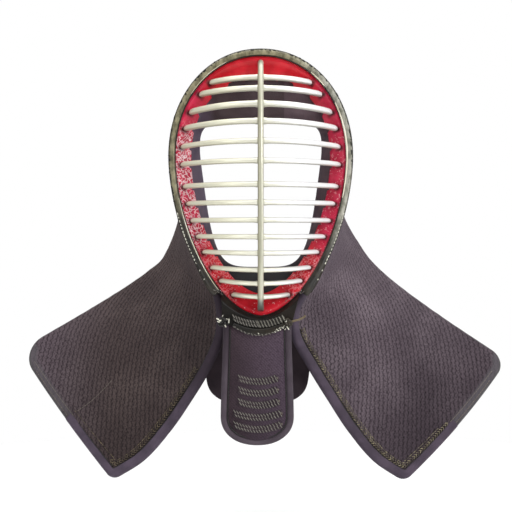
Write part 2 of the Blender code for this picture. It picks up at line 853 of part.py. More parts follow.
def cloth_body(name, stations, holds_cell, free_edge, finish):
    """A body of cloth made of the grid cells that it holds, with rounded hems where its edge is free."""
    half = HOOD_THICKNESS / 2
    points = []
    numbers = {}

    def add(key, point):
        if key not in numbers:
            numbers[key] = len(points)
            points.append(point)
        return numbers[key]

    def at_flap_end(i):
        return abs(stations[i]) > FLAP_END - STATION_TOLERANCE

    def hem_place(i, j, inset):
        """The grid place of a node, drawn in from each free edge that it lies on."""
        station = stations[i]
        share = CLOTH_LINES[j](station)
        if at_flap_end(i):
            station -= math.copysign(inset / cloth_length_per_station(station), station)
        if free_edge(share):
            share = mix(share, 0.5, inset / cloth_width(station) * 2)
        return round_tip(station, share)

    def is_hem(i, j):
        return at_flap_end(i) or free_edge(CLOTH_LINES[j](stations[i]))

    def face_node(i, j, direction):
        station, share = hem_place(i, j, HEM_ROUNDING)
        point = cloth_middle(station, share) + cloth_normal(station, share) * half * direction
        return add((i, j, direction), point)

    def hem_node(i, j):
        return add((i, j, 0), cloth_middle(*hem_place(i, j, 0)))

    grid = [(i, j) for i in range(len(stations) - 1) for j in range(len(CLOTH_LINES) - 1)]
    cells = {cell for cell in grid if holds_cell(stations, *cell)}
    faces = []
    edges = []
    for i, j in sorted(cells):
        corners = ((i, j), (i + 1, j), (i + 1, j + 1), (i, j + 1))
        faces.append(tuple(face_node(*corner, 1) for corner in corners))
        faces.append(tuple(face_node(*corner, -1) for corner in reversed(corners)))
        beside = ((i, j - 1), (i + 1, j), (i, j + 1), (i - 1, j))
        for k, other in enumerate(beside):
            if other not in cells:
                edges.append((corners[k], corners[(k + 1) % 4]))
    for a, b in edges:
        outer = [face_node(*a, 1), face_node(*b, 1)]
        inner = [face_node(*b, -1), face_node(*a, -1)]
        if is_hem(*a) and is_hem(*b):
            faces.append((outer[0], outer[1], hem_node(*b), hem_node(*a)))
            faces.append((hem_node(*a), hem_node(*b), inner[0], inner[1]))
            continue
        side = list(outer)
        if is_hem(*b):
            side.append(hem_node(*b))
        side += inner
        if is_hem(*a):
            side.append(hem_node(*a))
        faces.append(tuple(side))
    return place(name, points, faces, finish)


def cloth_stations():
    """Stations of the cloth's grid on the +X side, from the crown to the flap's end."""
    over_head = [RIM_END_STATION * i / RIM_STATIONS for i in range(RIM_STATIONS + 1)]
    per_metre = 1 / cloth_length_per_station(FLAP_END)
    step = CURVE_STEP * 5
    edge_step = (cloth_front(RIM_END_STATION + step) - cloth_front(RIM_END_STATION)).length
    end_outer = FLAP_END - BINDING_WIDTH * per_metre
    end_inner = end_outer - SEAM_CLEARANCE * per_metre
    start = RIM_END_STATION + SEAM_CLEARANCE * step / edge_step
    down_flap = [mix(start, end_inner, i / FLAP_STATIONS) for i in range(FLAP_STATIONS + 1)]
    return over_head, down_flap, [end_outer, FLAP_END]


def at_share(share):
    return lambda station: share


def beside_share(share, width):
    """A line that runs a fixed distance behind the line at this share of the cloth's width."""
    return lambda station: share + width / cloth_width(station)


# Lines of the cloth's grid from front to back: the binding's edge, its seam, and the step at a flap's end
CLOTH_LINES = (
    at_share(0.0),
    beside_share(0.0, BINDING_WIDTH),
    beside_share(0.0, BINDING_WIDTH + SEAM_CLEARANCE),
    at_share(0.16),
    at_share(0.30),
    at_share(BINDING_STEP_SHARE),
    beside_share(BINDING_STEP_SHARE, SEAM_CLEARANCE),
    at_share(0.61),
    at_share(0.76),
    at_share(0.89),
    at_share(0.955),
    at_share(1.0),
)
BINDING_ROW = 0
EDGE_SEAM_ROW = 1
STEP_SEAM_ROW = 5


def make_cloth(quilted_finish, binding_finish):
    """The quilted hood, its two quilted flaps, and a hem binding along each flap's front edge."""
    over_head, down_flap, end = cloth_stations()
    hood_stations = [-station for station in reversed(over_head[1:])] + over_head
    flap_stations = down_flap + end

    def quilted_cell(stations, i, j):
        if abs(stations[i]) > down_flap[-1] - STATION_TOLERANCE:
            return j > STEP_SEAM_ROW
        return j > EDGE_SEAM_ROW

    def binding_cell(stations, i, j):
        if abs(stations[i]) > end[0] - STATION_TOLERANCE:
            return j < STEP_SEAM_ROW
        return j == BINDING_ROW

    def back_free(share):
        return share > 1 - STATION_TOLERANCE

    def front_free(share):
        return share < STATION_TOLERANCE

    cloth_body("quilted_hood", hood_stations, lambda stations, i, j: True, back_free, quilted_finish)
    for side, name in ((LEFT, "left"), (RIGHT, "right")):
        stations = [station * side.sign for station in flap_stations]
        cloth_body(f"{name}_flap", stations, quilted_cell, back_free, quilted_finish)
        cloth_body(f"{name}_edge_binding", stations, binding_cell, front_free, binding_finish)


def chin_bottom(across):
    """Height of the chin piece's lower edge at a share of its half width."""
    return CHIN_Z - CHIN_CORNER_DROP - CHIN_SMILE * (1 - across**2)


def make_chin_guard(finish):
    """The leather piece from the rim's gap down to the top of the throat guard."""
    start = RIM_END + math.radians(CHIN_START_DEGREES)
    front = []
    back = []
    for share in CHIN_ROWS:
        front_row = []
        back_row = []
        for i in range(CHIN_COLUMNS + 1):
            angle = mix(start, 2 * math.pi - start, i / CHIN_COLUMNS)
            top = OPENING.point(angle) + out_of_opening(angle) * CLEARANCE
            across = 1 - 2 * i / CHIN_COLUMNS
            low = Vector((THROAT_SHIFT + CHIN_HALF_WIDTH * across, 0, chin_bottom(across)))
            face = mix(top.y - RIM_DEPTH / 2, CHIN_FRONT_Y, min(share / CHIN_BULGE_SHARE, 1))
            rear = mix(top.y + RIM_DEPTH / 2, CHIN_BACK_Y, share)
            x = mix(top.x, low.x, share)
            z = mix(top.z, low.z, share)
            front_row.append(Vector((x, face, z)))
            back_row.append(Vector((x, rear, z)))
        front.append(front_row)
        back.append(back_row)
    return slab("chin_guard", front, back, finish)


def smile_path(centre_x, half_length, drop, smile, y, steps):
    """Points of a curve that hangs lowest in its middle, a drop below the opening's lowest point."""
    path = []
    for i in range(steps + 1):
        across = 2 * i / steps - 1
        z = CHIN_Z - drop + smile * across**2
        path.append(Vector((centre_x + half_length * across, y, z)))
    return path


def sweep_on_face(name, path, heights, half_thickness, finish, sides=6):
    """A flat band laid on the chin piece's face along a path, with its own half height at each point."""
    rings = []
    last = len(path) - 1
    for i, point in enumerate(path):
        ahead = (path[min(i + 1, last)] - path[max(i - 1, 0)]).normalized()
        tall = BACKWARDS.cross(ahead).normalized() * heights[i]
        rings.append(oval(point, tall, BACKWARDS * half_thickness / math.cos(math.pi / sides), sides))
    return loft(name, rings, finish)


def make_braid(finish):
    y = CHIN_FRONT_Y - CLEARANCE - BRAID_HALF_THICKNESS
    path = smile_path(THROAT_SHIFT / 2, BRAID_HALF_LENGTH, BRAID_DROP, BRAID_SMILE, y, BRAID_STEPS)
    heights = []
    for i in range(BRAID_STEPS + 1):
        across = abs(2 * i / BRAID_STEPS - 1)
        heights.append(BRAID_HALF_HEIGHT * math.sqrt(1 - across**BRAID_END_POWER * BRAID_END_NARROWING))
    sweep_on_face("chin_braid", path, heights, BRAID_HALF_THICKNESS, finish)


def make_lacing(finish):
    """The lace over the throat guard's seam, swelling once for each of its loops."""
    y = CHIN_FRONT_Y - CLEARANCE - LACING_HALF_THICKNESS
    path = smile_path(THROAT_SHIFT / 2, LACING_HALF_LENGTH, LACING_DROP, LACING_SMILE, y, LACING_STEPS)
    heights = []
    for i in range(LACING_STEPS + 1):
        wave = abs(math.sin(math.pi * LACING_SCALLOPS * i / LACING_STEPS))
        heights.append(LACING_HALF_HEIGHT * mix(LACING_WAIST, 1, wave))
    sweep_on_face("chin_lacing", path, heights, LACING_HALF_THICKNESS, finish)


def knot_rings(centre, wide, tall):
    """A round lump with small flat poles at its two sides, its back resting on the chin piece's face."""
    rings = []
    for share in KNOT_SLICES:
        size = math.sqrt(1 - share**2)
        middle = centre + RIGHTWARDS * wide * share
        middle.y = CHIN_FRONT_Y - CLEARANCE - KNOT_HALF_DEPTH
        rings.append(oval(middle, BACKWARDS * KNOT_HALF_DEPTH * size, UPWARDS * tall * size))
    return rings


def on_chin_side(across, down):
    """A point by the chin piece's edge, in shares of its half width and of its corners' drop."""
    return Vector((THROAT_SHIFT + CHIN_HALF_WIDTH * across, 0, CHIN_Z - CHIN_CORNER_DROP * down))


def make_knots(finish):
    left = knot_rings(on_chin_side(-0.97, 0.85), KNOT_RADIUS * 1.6, KNOT_RADIUS)
    loft("left_chin_knot", left, finish)
    right = knot_rings(on_chin_side(0.88, 1.05), KNOT_RADIUS * 0.75, KNOT_RADIUS * 1.05)
    side = right[-1][0].lerp(right[-1][BAR_SIDES // 2], 0.5)
    for step in LACE_END_PATH:
        right.append(oval(side + step, BACKWARDS * LACE_RADIUS, UPWARDS * LACE_RADIUS))
    loft("right_chin_knot", right, finish)


def throat_outline(inset):
    """Half outline of the throat guard, from its top corner to its lowest point, drawn in by an inset."""
    top = CHIN_Z - CHIN_CORNER_DROP - THROAT_TOP_DROP
    bottom = top - THROAT_LENGTH + inset
    turn_z = bottom + THROAT_ROUNDING - inset
    low_half = THROAT_LOW_HALF_WIDTH - inset
    outline = []
    for i in range(THROAT_SIDE_STEPS + 1):
        share = i / THROAT_SIDE_STEPS
        half = mix(THROAT_TOP_HALF_WIDTH - inset, low_half, smooth_step(share * THROAT_WIDENING))
        outline.append((half, mix(top, turn_z, share)))
    widest = outline[-1][0]
    for i in range(1, THROAT_TURN_STEPS + 1):
        turn = math.pi / 2 * i / THROAT_TURN_STEPS
        across = math.cos(turn) ** (2 / THROAT_TURN_POWER)
        down = math.sin(turn) ** (2 / THROAT_TURN_POWER)
        outline.append((widest * across, turn_z - (turn_z - bottom) * down))
    return outline


def throat_y(z, depth):
    """Depth of a point in the throat guard: it leans back towards its lower end."""
    return CHIN_FRONT_Y + depth + (CHIN_Z - z) * THROAT_LEAN


def make_throat_guard(finish):
    """The tongue-shaped panel inside its piping, cut to the chin piece's smile at its top."""
    outline = throat_outline(PIPING_WIDTH + CLEARANCE)
    front = []
    back = []
    for half, z in outline[:-1]:
        front_row = []
        back_row = []
        for i in range(THROAT_COLUMNS + 1):
            across = 1 - 2 * i / THROAT_COLUMNS
            x = half * across
            low = chin_bottom(x / CHIN_HALF_WIDTH) - CLEARANCE
            height = low if z == outline[0][1] else min(z, low)
            fall = THROAT_EDGE_FALL * abs(across) ** 3
            front_row.append(Vector((THROAT_SHIFT + x, throat_y(height, fall), height)))
            back_row.append(Vector((THROAT_SHIFT + x, throat_y(height, THROAT_THICKNESS - fall), height)))
        front.append(front_row)
        back.append(back_row)
    return slab("throat_guard", front, back, finish)


def make_throat_piping(finish):
    side = throat_outline(PIPING_WIDTH / 2)
    path = side + [(-half, z) for half, z in reversed(side[:-1])]
    rings = []
    last = len(path) - 1
    for i, (x, z) in enumerate(path):
        before = path[max(i - 1, 0)]
        after = path[min(i + 1, last)]
        ahead = Vector((after[0] - before[0], 0, after[1] - before[1])).normalized()
        wide = BACKWARDS.cross(ahead) * PIPING_WIDTH / 2
        middle = Vector((THROAT_SHIFT + x, throat_y(z, THROAT_THICKNESS / 2), z))
        ring = oval(middle, wide, BACKWARDS * THROAT_THICKNESS / 2)
        if i in (0, last):
            for point in ring:
                share = (point.x - THROAT_SHIFT) / CHIN_HALF_WIDTH
                point.z = chin_bottom(share) - CLEARANCE * 2
        rings.append(ring)
    return loft("throat_guard_piping", rings, finish)


@dataclass
class GuardRow:
    """Inner throat guard: shares of its length, of the way from neck to full width, of its set-back."""

    down: float
    width: float
    behind: float


INNER_GUARD_ROWS = (
    GuardRow(down=0.00, width=0.00, behind=0.00),
    GuardRow(down=0.12, width=0.03, behind=0.10),
    GuardRow(down=0.26, width=0.24, behind=0.48),
    GuardRow(down=0.40, width=0.70, behind=0.80),
    GuardRow(down=0.54, width=1.00, behind=0.96),
    GuardRow(down=0.76, width=0.96, behind=1.00),
    GuardRow(down=0.88, width=0.79, behind=1.00),
    GuardRow(down=0.96, width=0.46, behind=1.00),
    GuardRow(down=1.00, width=0.10, behind=1.00),
)


def make_inner_guard(finish):
    front = []
    back = []
    for row in INNER_GUARD_ROWS:
        half = mix(INNER_GUARD_NECK_HALF_WIDTH, INNER_GUARD_HALF_WIDTH, row.width)
        z = CHIN_Z - INNER_GUARD_TOP_DROP - row.down * INNER_GUARD_LENGTH
        y = CHIN_BACK_Y + CLEARANCE + row.behind * INNER_GUARD_SETBACK
        xs = [THROAT_SHIFT + half * across for across in (1, 0.5, 0, -0.5, -1)]
        front.append([Vector((x, y, z)) for x in xs])
        back.append([Vector((x, y + INNER_GUARD_THICKNESS, z)) for x in xs])
    return slab("inner_throat_guard", front, back, finish)


def main():
    for old in list(bpy.data.objects):
        bpy.data.objects.remove(old)
    metal = material("ivory_metal", (0.78, 0.77, 0.64), 0.30, 0.85)
    black_leather = material("black_lacquered_leather", (0.022, 0.023, 0.017), 0.22)
    red_lacquer = material("red_lacquer", (0.60, 0.014, 0.032), 0.20)
    navy_cotton = material("navy_cotton", (0.045, 0.038, 0.065), 0.85)
    quilted_cotton = material("quilted_cotton", (0.105, 0.088, 0.100), 0.90)
    hem_cotton = material("hem_cotton", (0.075, 0.060, 0.112), 0.85)
    piping_cotton = material("piping_cotton", (0.100, 0.088, 0.120), 0.85)

    make_grille(metal)
    make_rim(black_leather)
    make_lining(red_lacquer)
    make_face_pad(navy_cotton)
    make_cloth(quilted_cotton, hem_cotton)
    make_chin_guard(black_leather)
    make_braid(black_leather)
    make_lacing(black_leather)
    make_knots(black_leather)
    make_throat_guard(quilted_cotton)
    make_throat_piping(piping_cotton)
    make_inner_guard(navy_cotton)


main()
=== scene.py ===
"""Looks of the kendo head guard: its cloth, leather, lacquer and metal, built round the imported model."""

import math
from dataclasses import dataclass

import bmesh
import bpy
import numpy as np
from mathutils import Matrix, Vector
from mathutils.kdtree import KDTree


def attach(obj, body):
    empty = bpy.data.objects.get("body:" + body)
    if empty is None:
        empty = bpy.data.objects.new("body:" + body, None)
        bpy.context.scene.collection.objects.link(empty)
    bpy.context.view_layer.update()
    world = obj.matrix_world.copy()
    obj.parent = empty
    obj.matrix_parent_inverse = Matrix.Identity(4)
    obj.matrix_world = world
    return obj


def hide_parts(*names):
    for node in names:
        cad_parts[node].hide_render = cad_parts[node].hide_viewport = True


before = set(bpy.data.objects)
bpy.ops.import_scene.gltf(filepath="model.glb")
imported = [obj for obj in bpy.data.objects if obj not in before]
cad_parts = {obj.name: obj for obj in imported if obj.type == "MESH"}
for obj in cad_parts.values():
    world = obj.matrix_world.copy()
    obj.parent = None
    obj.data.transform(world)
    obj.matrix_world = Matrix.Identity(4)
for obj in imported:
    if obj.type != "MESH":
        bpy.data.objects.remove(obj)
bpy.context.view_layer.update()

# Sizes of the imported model, repeated here so that each piece sits where its solid does
CLEARANCE = 0.0003
HOOD_THICKNESS = 0.0075
CROWN_RISE = 0.006
HOOD_HALF_WIDTH = 0.1035
HOOD_DEPTH = 0.110
CROWN_BACK_SHARE = 0.773
CROWN_BACK_DROP = 0.001
FLAP_BOW = 0.008
JAW_BOW = 0.40
RIM_SEAM_GAP = 0.0006
SLANT_ALLOWANCE = 1.2
SETBACK_FADE = 0.2
CURVE_STEP = 0.02
BINDING_WIDTH = 0.0095
BINDING_STEP_SHARE = 0.46
OPENING_RISE = 0.1103
OPENING_CHIN_Y = -0.078
RIM_WIDTH = 0.008
RIM_DEPTH = 0.012
RIM_END = math.radians(150)
RIM_END_FLARE = 0.45
RIM_FLARE_LENGTH_SHARE = 0.13
LINING_THICKNESS = 0.003
NOTCH_DEPTH = 0.0030
NOTCH_HALF_HEIGHT = 0.0024
NOTCH_DROP = 0.0016
PAD_RECESS = 0.034
PAD_LIP_DEPTH = 0.017
PAD_BACK_RECESS = 0.045
PAD_OUTER_INSET = 0.0050
PAD_LIP_ROUNDING = 0.25
PAD_SEAT_SHARE = 0.55
CROSS_BAR_HALF_DEPTH = 0.0040
CROSS_BAR_HALF_HEIGHT = 0.0029
CROSS_BAR_BOW_POWER = 2.2
UPRIGHT_HALF_WIDTH = 0.0032
UPRIGHT_HALF_DEPTH = 0.0042
UPRIGHT_STANDS_FORWARD = 0.0030
UPRIGHT_FOOT_FLARE = 0.35
UPRIGHT_FLARE_START = 0.86
UPRIGHT_FLARE_LENGTH = 0.10
UPRIGHT_SQUARENESS = 2.4
UPRIGHT_FULLNESS = 1.8
GRILLE_BULGE = 0.038
BAR_INSET = 0.0078
CHIN_FRONT_Y = -0.0895
CHIN_BACK_Y = -0.066
CHIN_HALF_WIDTH = 0.0384
CHIN_CORNER_DROP = 0.0075
CHIN_SMILE = 0.0070
CHIN_START_GAP = math.radians(0.4)
CHIN_START = RIM_END + CHIN_START_GAP
CHIN_BULGE_SHARE = 0.3
BRAID_HALF_LENGTH = 0.0284
BRAID_HALF_HEIGHT = 0.0038
BRAID_HALF_THICKNESS = 0.0015
BRAID_SMILE = 0.0070
BRAID_DROP = 0.0088
LACING_HALF_LENGTH = 0.0282
LACING_SMILE = 0.0100
LACING_DROP = 0.0210
THROAT_SHIFT = -0.0038
THROAT_TOP_HALF_WIDTH = 0.0376
THROAT_LOW_HALF_WIDTH = 0.0404
THROAT_LENGTH = 0.1345
THROAT_ROUNDING = 0.0320
THROAT_THICKNESS = 0.009
THROAT_LEAN = 0.035
THROAT_TOP_DROP = 0.0014
THROAT_TURN_POWER = 2.2
THROAT_WIDENING = 0.9
PIPING_WIDTH = 0.0078
INNER_GUARD_HALF_WIDTH = 0.0590
INNER_GUARD_NECK_HALF_WIDTH = 0.0330
INNER_GUARD_LENGTH = 0.0995
INNER_GUARD_TOP_DROP = 0.003
INNER_GUARD_THICKNESS = 0.004
INNER_GUARD_SETBACK = 0.030

MM = 0.001
ROOT = "root"
LEATHER = "black_lacquered_leather"
HEM = "hem_cotton"
PIPING_COTTON = "piping_cotton"
# share * (1 - share) is a quarter in the middle, so a bow is multiplied by this
FULL_BOW = 4
BAND_GAPS_BEHIND_RIM = 3
PAD_GAPS_BEHIND_BAND = 2
SEAT_SEARCH_STEPS = 40
CLOTH_TABLE_ROWS = 941


@dataclass
class BarRow:
    """Where a cross bar's ends lie and how much higher its middle is, in shares of the opening's height."""

    level: float
    rise: float
    thickness: float


CROSS_BARS = (
    BarRow(level=0.096, rise=0.008, thickness=1.08),
    BarRow(level=0.140, rise=0.008, thickness=1.12),
    BarRow(level=0.208, rise=0.015, thickness=1.20),
    BarRow(level=0.271, rise=0.011, thickness=1.15),
    BarRow(level=0.343, rise=0.007, thickness=1.08),
    BarRow(level=0.413, rise=0.002, thickness=1.04),
    BarRow(level=0.500, rise=0.000, thickness=1.04),
    BarRow(level=0.568, rise=-0.001, thickness=1.00),
    BarRow(level=0.635, rise=0.000, thickness=0.96),
    BarRow(level=0.698, rise=0.000, thickness=0.96),
    BarRow(level=0.758, rise=-0.002, thickness=0.94),
    BarRow(level=0.818, rise=-0.006, thickness=0.92),
    BarRow(level=0.869, rise=-0.007, thickness=0.90),
    BarRow(level=0.922, rise=-0.006, thickness=0.90),
)


@dataclass
class FlapSide:
    """One flap's corners, its tips as if they weren't rounded, and how far its back edge sags, its front
    edge is tucked in behind the chin and its end bulges."""

    sign: int
    jaw: Vector
    front_tip: Vector
    back_tip: Vector
    tip_radius: float
    sag: float
    tuck: float
    end_bulge: float


LEFT = FlapSide(
    sign=-1,
    jaw=Vector((0.1185, 0.092, -0.2317)),
    front_tip=Vector((0.1713, -0.019, -0.4878)),
    back_tip=Vector((0.2928, 0.049, -0.3456)),
    tip_radius=0.031,
    sag=0.0020,
    tuck=0.0013,
    end_bulge=0.0020,
)
RIGHT = FlapSide(
    sign=1,
    jaw=Vector((0.1265, 0.092, -0.2250)),
    front_tip=Vector((0.1661, -0.019, -0.4893)),
    back_tip=Vector((0.2990, 0.048, -0.3576)),
    tip_radius=0.021,
    sag=0.0036,
    tuck=0.0080,
    end_bulge=0.0048,
)
TUCK_FADE = 0.15
FRONT_TIP_RADIUS = 0.009
END_BULGE_SPAN = 0.6


@dataclass
class HoodRow:
    """Back edge over the head, in shares of the hood's half width, its depth and the drop to the jaw."""

    station: float
    across: float
    behind: float
    down: float
    bow: float


HOOD_ROWS = (
    HoodRow(station=0.2, across=0.502, behind=0.836, down=0.075, bow=0.60),
    HoodRow(station=0.4, across=0.855, behind=0.936, down=0.262, bow=0.50),
    HoodRow(station=0.6, across=0.976, behind=1.000, down=0.508, bow=0.50),
    HoodRow(station=0.8, across=0.960, behind=0.964, down=0.770, bow=0.40),
)


@dataclass
class FlapRow:
    """Points of a flap's front and back edges, in shares of the way from each edge's start to its tip."""

    station: float
    front: tuple
    back: tuple
    bow: float


# Shares across, behind and down; the front edge starts at the chin and the back edge at the jaw
FLAP_ROWS = (
    FlapRow(station=1.20, front=(0.000, 0.000, 0.000), back=(0.120, 0.115, 0.174), bow=0.50),
    FlapRow(station=1.40, front=(0.008, -0.007, 0.140), back=(0.278, 0.280, 0.339), bow=0.75),
    FlapRow(station=1.60, front=(0.115, 0.115, 0.320), back=(0.440, 0.450, 0.490), bow=1.00),
    FlapRow(station=1.80, front=(0.275, 0.315, 0.500), back=(0.600, 0.620, 0.635), bow=1.00),
    FlapRow(station=2.00, front=(0.470, 0.565, 0.690), back=(0.748, 0.765, 0.767), bow=0.85),
    FlapRow(station=2.20, front=(0.715, 0.803, 0.875), back=(0.887, 0.900, 0.894), bow=0.60),
    FlapRow(station=2.35, front=(1.000, 1.000, 1.000), back=(1.000, 1.000, 1.000), bow=0.40),
)
RIM_END_STATION = 1.0
FLAP_END = FLAP_ROWS[-1].station

BACKWARDS = Vector((0, 1, 0))
FORWARDS = (0, -1, 0)
TO_THE_RIGHT = np.array([1.0, 0, 0])


def mix(a, b, share):
    """The value at this share of the way from one to another."""
    return a + (b - a) * share


def smooth_step(share):
    """A soft rise from 0 to 1."""
    share = min(max(share, 0.0), 1.0)
    return share * share * (3 - 2 * share)


@dataclass
class Loop:
    """A closed egg-shaped curve round the face, lying deeper at its sides than at its top and chin. A power
    of 2 makes its upper or lower half an ellipse and more makes it squarer. A taper narrows its lower half
    evenly, by that share of its width at its lowest point."""

    half_width: float
    level: float
    rise: float
    fall: float
    upper_power: float
    lower_power: float
    side_y: float
    top_y: float
    chin_y: float
    taper: float = 0.0

    def point(self, angle):
        """The point at an angle from the top, turning towards +X."""
        across = math.sin(angle)
        along = math.cos(angle)
        upper = along >= 0
        power = self.upper_power if upper else self.lower_power
        reach = self.rise if upper else self.fall
        share = math.copysign(abs(along) ** (2 / power), along)
        end_y = self.top_y if upper else self.chin_y
        width = self.half_width * (1 + self.taper * min(share, 0.0))
        return Vector(
            (
                math.copysign(abs(across) ** (2 / power), across) * width,
                self.side_y + (end_y - self.side_y) * share**2,
                self.level + reach * share,
            )
        )

    def inside(self, side, top, chin, level_shift, recess, powers, taper=0.0):
        """The loop that lies this far inside this one and this much deeper."""
        level = self.level + level_shift
        return Loop(
            half_width=self.half_width - side,
            level=level,
            rise=self.level + self.rise - top - level,
            fall=level - (self.level - self.fall + chin),
            upper_power=powers[0],
            lower_power=powers[1],
            side_y=self.side_y + recess,
            top_y=self.top_y + recess,
            chin_y=self.chin_y + recess,
            taper=taper,
        )


OPENING_TOP_Z = HOOD_THICKNESS / 2 - CROWN_RISE - RIM_WIDTH / 2
OPENING = Loop(
    half_width=0.0963,
    level=OPENING_TOP_Z - OPENING_RISE,
    rise=OPENING_RISE,
    fall=0.1765,
    upper_power=2.08,
    lower_power=1.75,
    side_y=-0.045,
    top_y=-0.070,
    chin_y=OPENING_CHIN_Y,
)
BAND_EDGE = OPENING.inside(
    side=0.0174, top=0.0248, chin=0.0235, level_shift=-0.0027, recess=0.012, powers=(2.3, 1.75)
)
PAD_EDGE = OPENING.inside(
    side=0.0254,
    top=0.0648,
    chin=0.0505,
    level_shift=0.0044,
    recess=PAD_RECESS,
    powers=(4.0, 4.5),
    taper=0.25,
)
CHIN_Z = OPENING.point(math.pi).z


def along_opening(angle):
    """Direction of the opening's edge at an angle, turning towards +X at the top."""
    step = math.radians(0.5)
    return (OPENING.point(angle + step) - OPENING.point(angle - step)).normalized()


def out_of_opening(angle):
    """Direction in the XZ plane that points away from the face, square to the opening's edge."""
    along = along_opening(angle)
    return Vector((-along.z, 0, along.x)).normalized()


def rim_width(angle):
    """The bead's width, growing towards its two ends at the chin."""
    flare_length = RIM_END * RIM_FLARE_LENGTH_SHARE
    near_end = smooth_step((abs(angle) - RIM_END + flare_length) / flare_length)
    return RIM_WIDTH * (1 + RIM_END_FLARE * near_end)


def band_front(angle, share):
    """The red band's front surface, from the rim at share 0 to its inner edge at share 1."""
    outer = OPENING.point(angle) - out_of_opening(angle) * CLEARANCE
    outer -= BACKWARDS * CLEARANCE * BAND_GAPS_BEHIND_RIM
    return mix(outer, BAND_EDGE.point(angle), share)


def bar_level(row):
    """Height of a cross bar's ends."""
    return OPENING_TOP_Z - row.level * (OPENING.rise + OPENING.fall)


def bar_seat(angle):
    """Where a bar's end meets the red band at an angle."""
    band_width = (OPENING.point(angle) - BAND_EDGE.point(angle)).length
    return band_front(angle, BAR_INSET / band_width)


def seat_of(row):
    """Where a cross bar's +X end meets the red band, found by halving the angles it may lie at."""
    low = 0.0
    high = math.pi
    for _ in range(SEAT_SEARCH_STEPS):
        middle = (low + high) / 2
        if bar_seat(middle).z > bar_level(row):
            low = middle
        else:
            high = middle
    return bar_seat(low)


def upright_y(z):
    """Depth of the upright bar's middle line at a height, on a bowed curve between its two ends."""
    top = bar_seat(0.0)
    foot = bar_seat(math.pi)
    middle = (top.z + foot.z) / 2
    half = (top.z - foot.z) / 2
    share = min(abs((z - middle) / half), 1.0)
    base = mix(foot.y, top.y, (z - foot.z) / (top.z - foot.z))
    return base - GRILLE_BULGE * (1 - share**UPRIGHT_SQUARENESS) ** (1 / UPRIGHT_FULLNESS)


def on_side(point, side):
    """The point mirrored to the -X side where the flap is on it."""
    return Vector((point.x * side.sign, point.y, point.z))


def rim_seam(angle):
    """Middle of the cloth's front edge where it is sewn behind the rim."""
    behind = BACKWARDS * (RIM_DEPTH / 2 + RIM_SEAM_GAP)
    return OPENING.point(angle) + out_of_opening(angle) * RIM_WIDTH / 2 + behind


def three_shares(start, end, across, behind, down):
    """A point between two others, with a share of the way for each axis."""
    return Vector((mix(start.x, end.x, across), mix(start.y, end.y, behind), mix(start.z, end.z, down)))


def front_rows(side):
    """Stations and points of a flap's free front edge."""
    seam = rim_seam(RIM_END)
    start = on_side(Vector((seam.x - RIM_WIDTH / 2, seam.y + CLEARANCE, CHIN_Z)), side)
    tip = on_side(side.front_tip, side)
    rows = [(RIM_END_STATION, rim_seam(RIM_END * side.sign))]
    for row in FLAP_ROWS:
        point = three_shares(start, tip, *row.front)
        point.x -= side.sign * side.tuck * max(0.0, 1 - row.front[0] / TUCK_FADE)
        rows.append((row.station, point))
    return rows


def back_rows(side):
    """Stations and points of the back edge, from beside the crown to the flap's outer tip."""
    jaw = on_side(side.jaw, side)
    tip = on_side(side.back_tip, side)
    crown_z = rim_seam(0.0).z
    rows = []
    for row in HOOD_ROWS:
        x = row.across * HOOD_HALF_WIDTH * side.sign
        rows.append((row.station, Vector((x, row.behind * HOOD_DEPTH, mix(crown_z, jaw.z, row.down)))))
    rows.append((RIM_END_STATION, jaw))
    for row in FLAP_ROWS:
        point = three_shares(jaw, tip, *row.back)
        point.z -= side.sag * FULL_BOW * row.back[0] * (1 - row.back[0])
        rows.append((row.station, point))
    return rows


def bow_rows():
    """Stations and how far the cloth bows out there in the middle of its width."""
    rows = [(0.0, CROWN_RISE)]
    rows += [(row.station, row.bow * FLAP_BOW) for row in HOOD_ROWS]
    rows.append((RIM_END_STATION, JAW_BOW * FLAP_BOW))
    rows += [(row.station, row.bow * FLAP_BOW) for row in FLAP_ROWS]
    return rows


def signed(rows, side):
    """The rows with their stations counted from the crown, negative on the -X side."""
    return [(station * side.sign, point) for station, point in rows]


def smooth_curve(rows, station):
    """The value at a station on a smooth curve through all rows."""
    last = len(rows) - 1
    i = 0
    while i < last - 1 and station > rows[i + 1][0]:
        i += 1

    def slope(k):
        low = max(k - 1, 0)
        high = min(k + 1, last)
        return (rows[high][1] - rows[low][1]) / (rows[high][0] - rows[low][0])

    span = rows[i + 1][0] - rows[i][0]
    t = (station - rows[i][0]) / span
    start = rows[i][1] * (2 * t**3 - 3 * t**2 + 1) + slope(i) * span * (t**3 - 2 * t**2 + t)
    end = rows[i + 1][1] * (3 * t**2 - 2 * t**3) + slope(i + 1) * span * (t**3 - t**2)
    return start + end


CROWN_BACK = Vector((0, CROWN_BACK_SHARE * HOOD_DEPTH, rim_seam(0.0).z - CROWN_BACK_DROP))
BACK_EDGE = (
    signed(back_rows(LEFT), LEFT)[::-1] + [(0.0, CROWN_BACK)] + signed(back_rows(RIGHT), RIGHT)
)
FRONT_EDGE = {side.sign: front_rows(side) for side in (LEFT, RIGHT)}
BOWS = bow_rows()


def cloth_back(station):
    """The cloth's back edge."""
    return smooth_curve(BACK_EDGE, station)


def seam_setback(station):
    """How far the slanting cloth keeps back from the rim, so that its outer face clears the bead."""
    angle = RIM_END * station
    across = cloth_back(station) - rim_seam(angle)
    along = along_opening(angle)
    out = along.cross(across).normalized()
    across += out * smooth_curve(BOWS, abs(station)) * FULL_BOW
    return abs(along.cross(across).normalized().y) * HOOD_THICKNESS / 2 * SLANT_ALLOWANCE


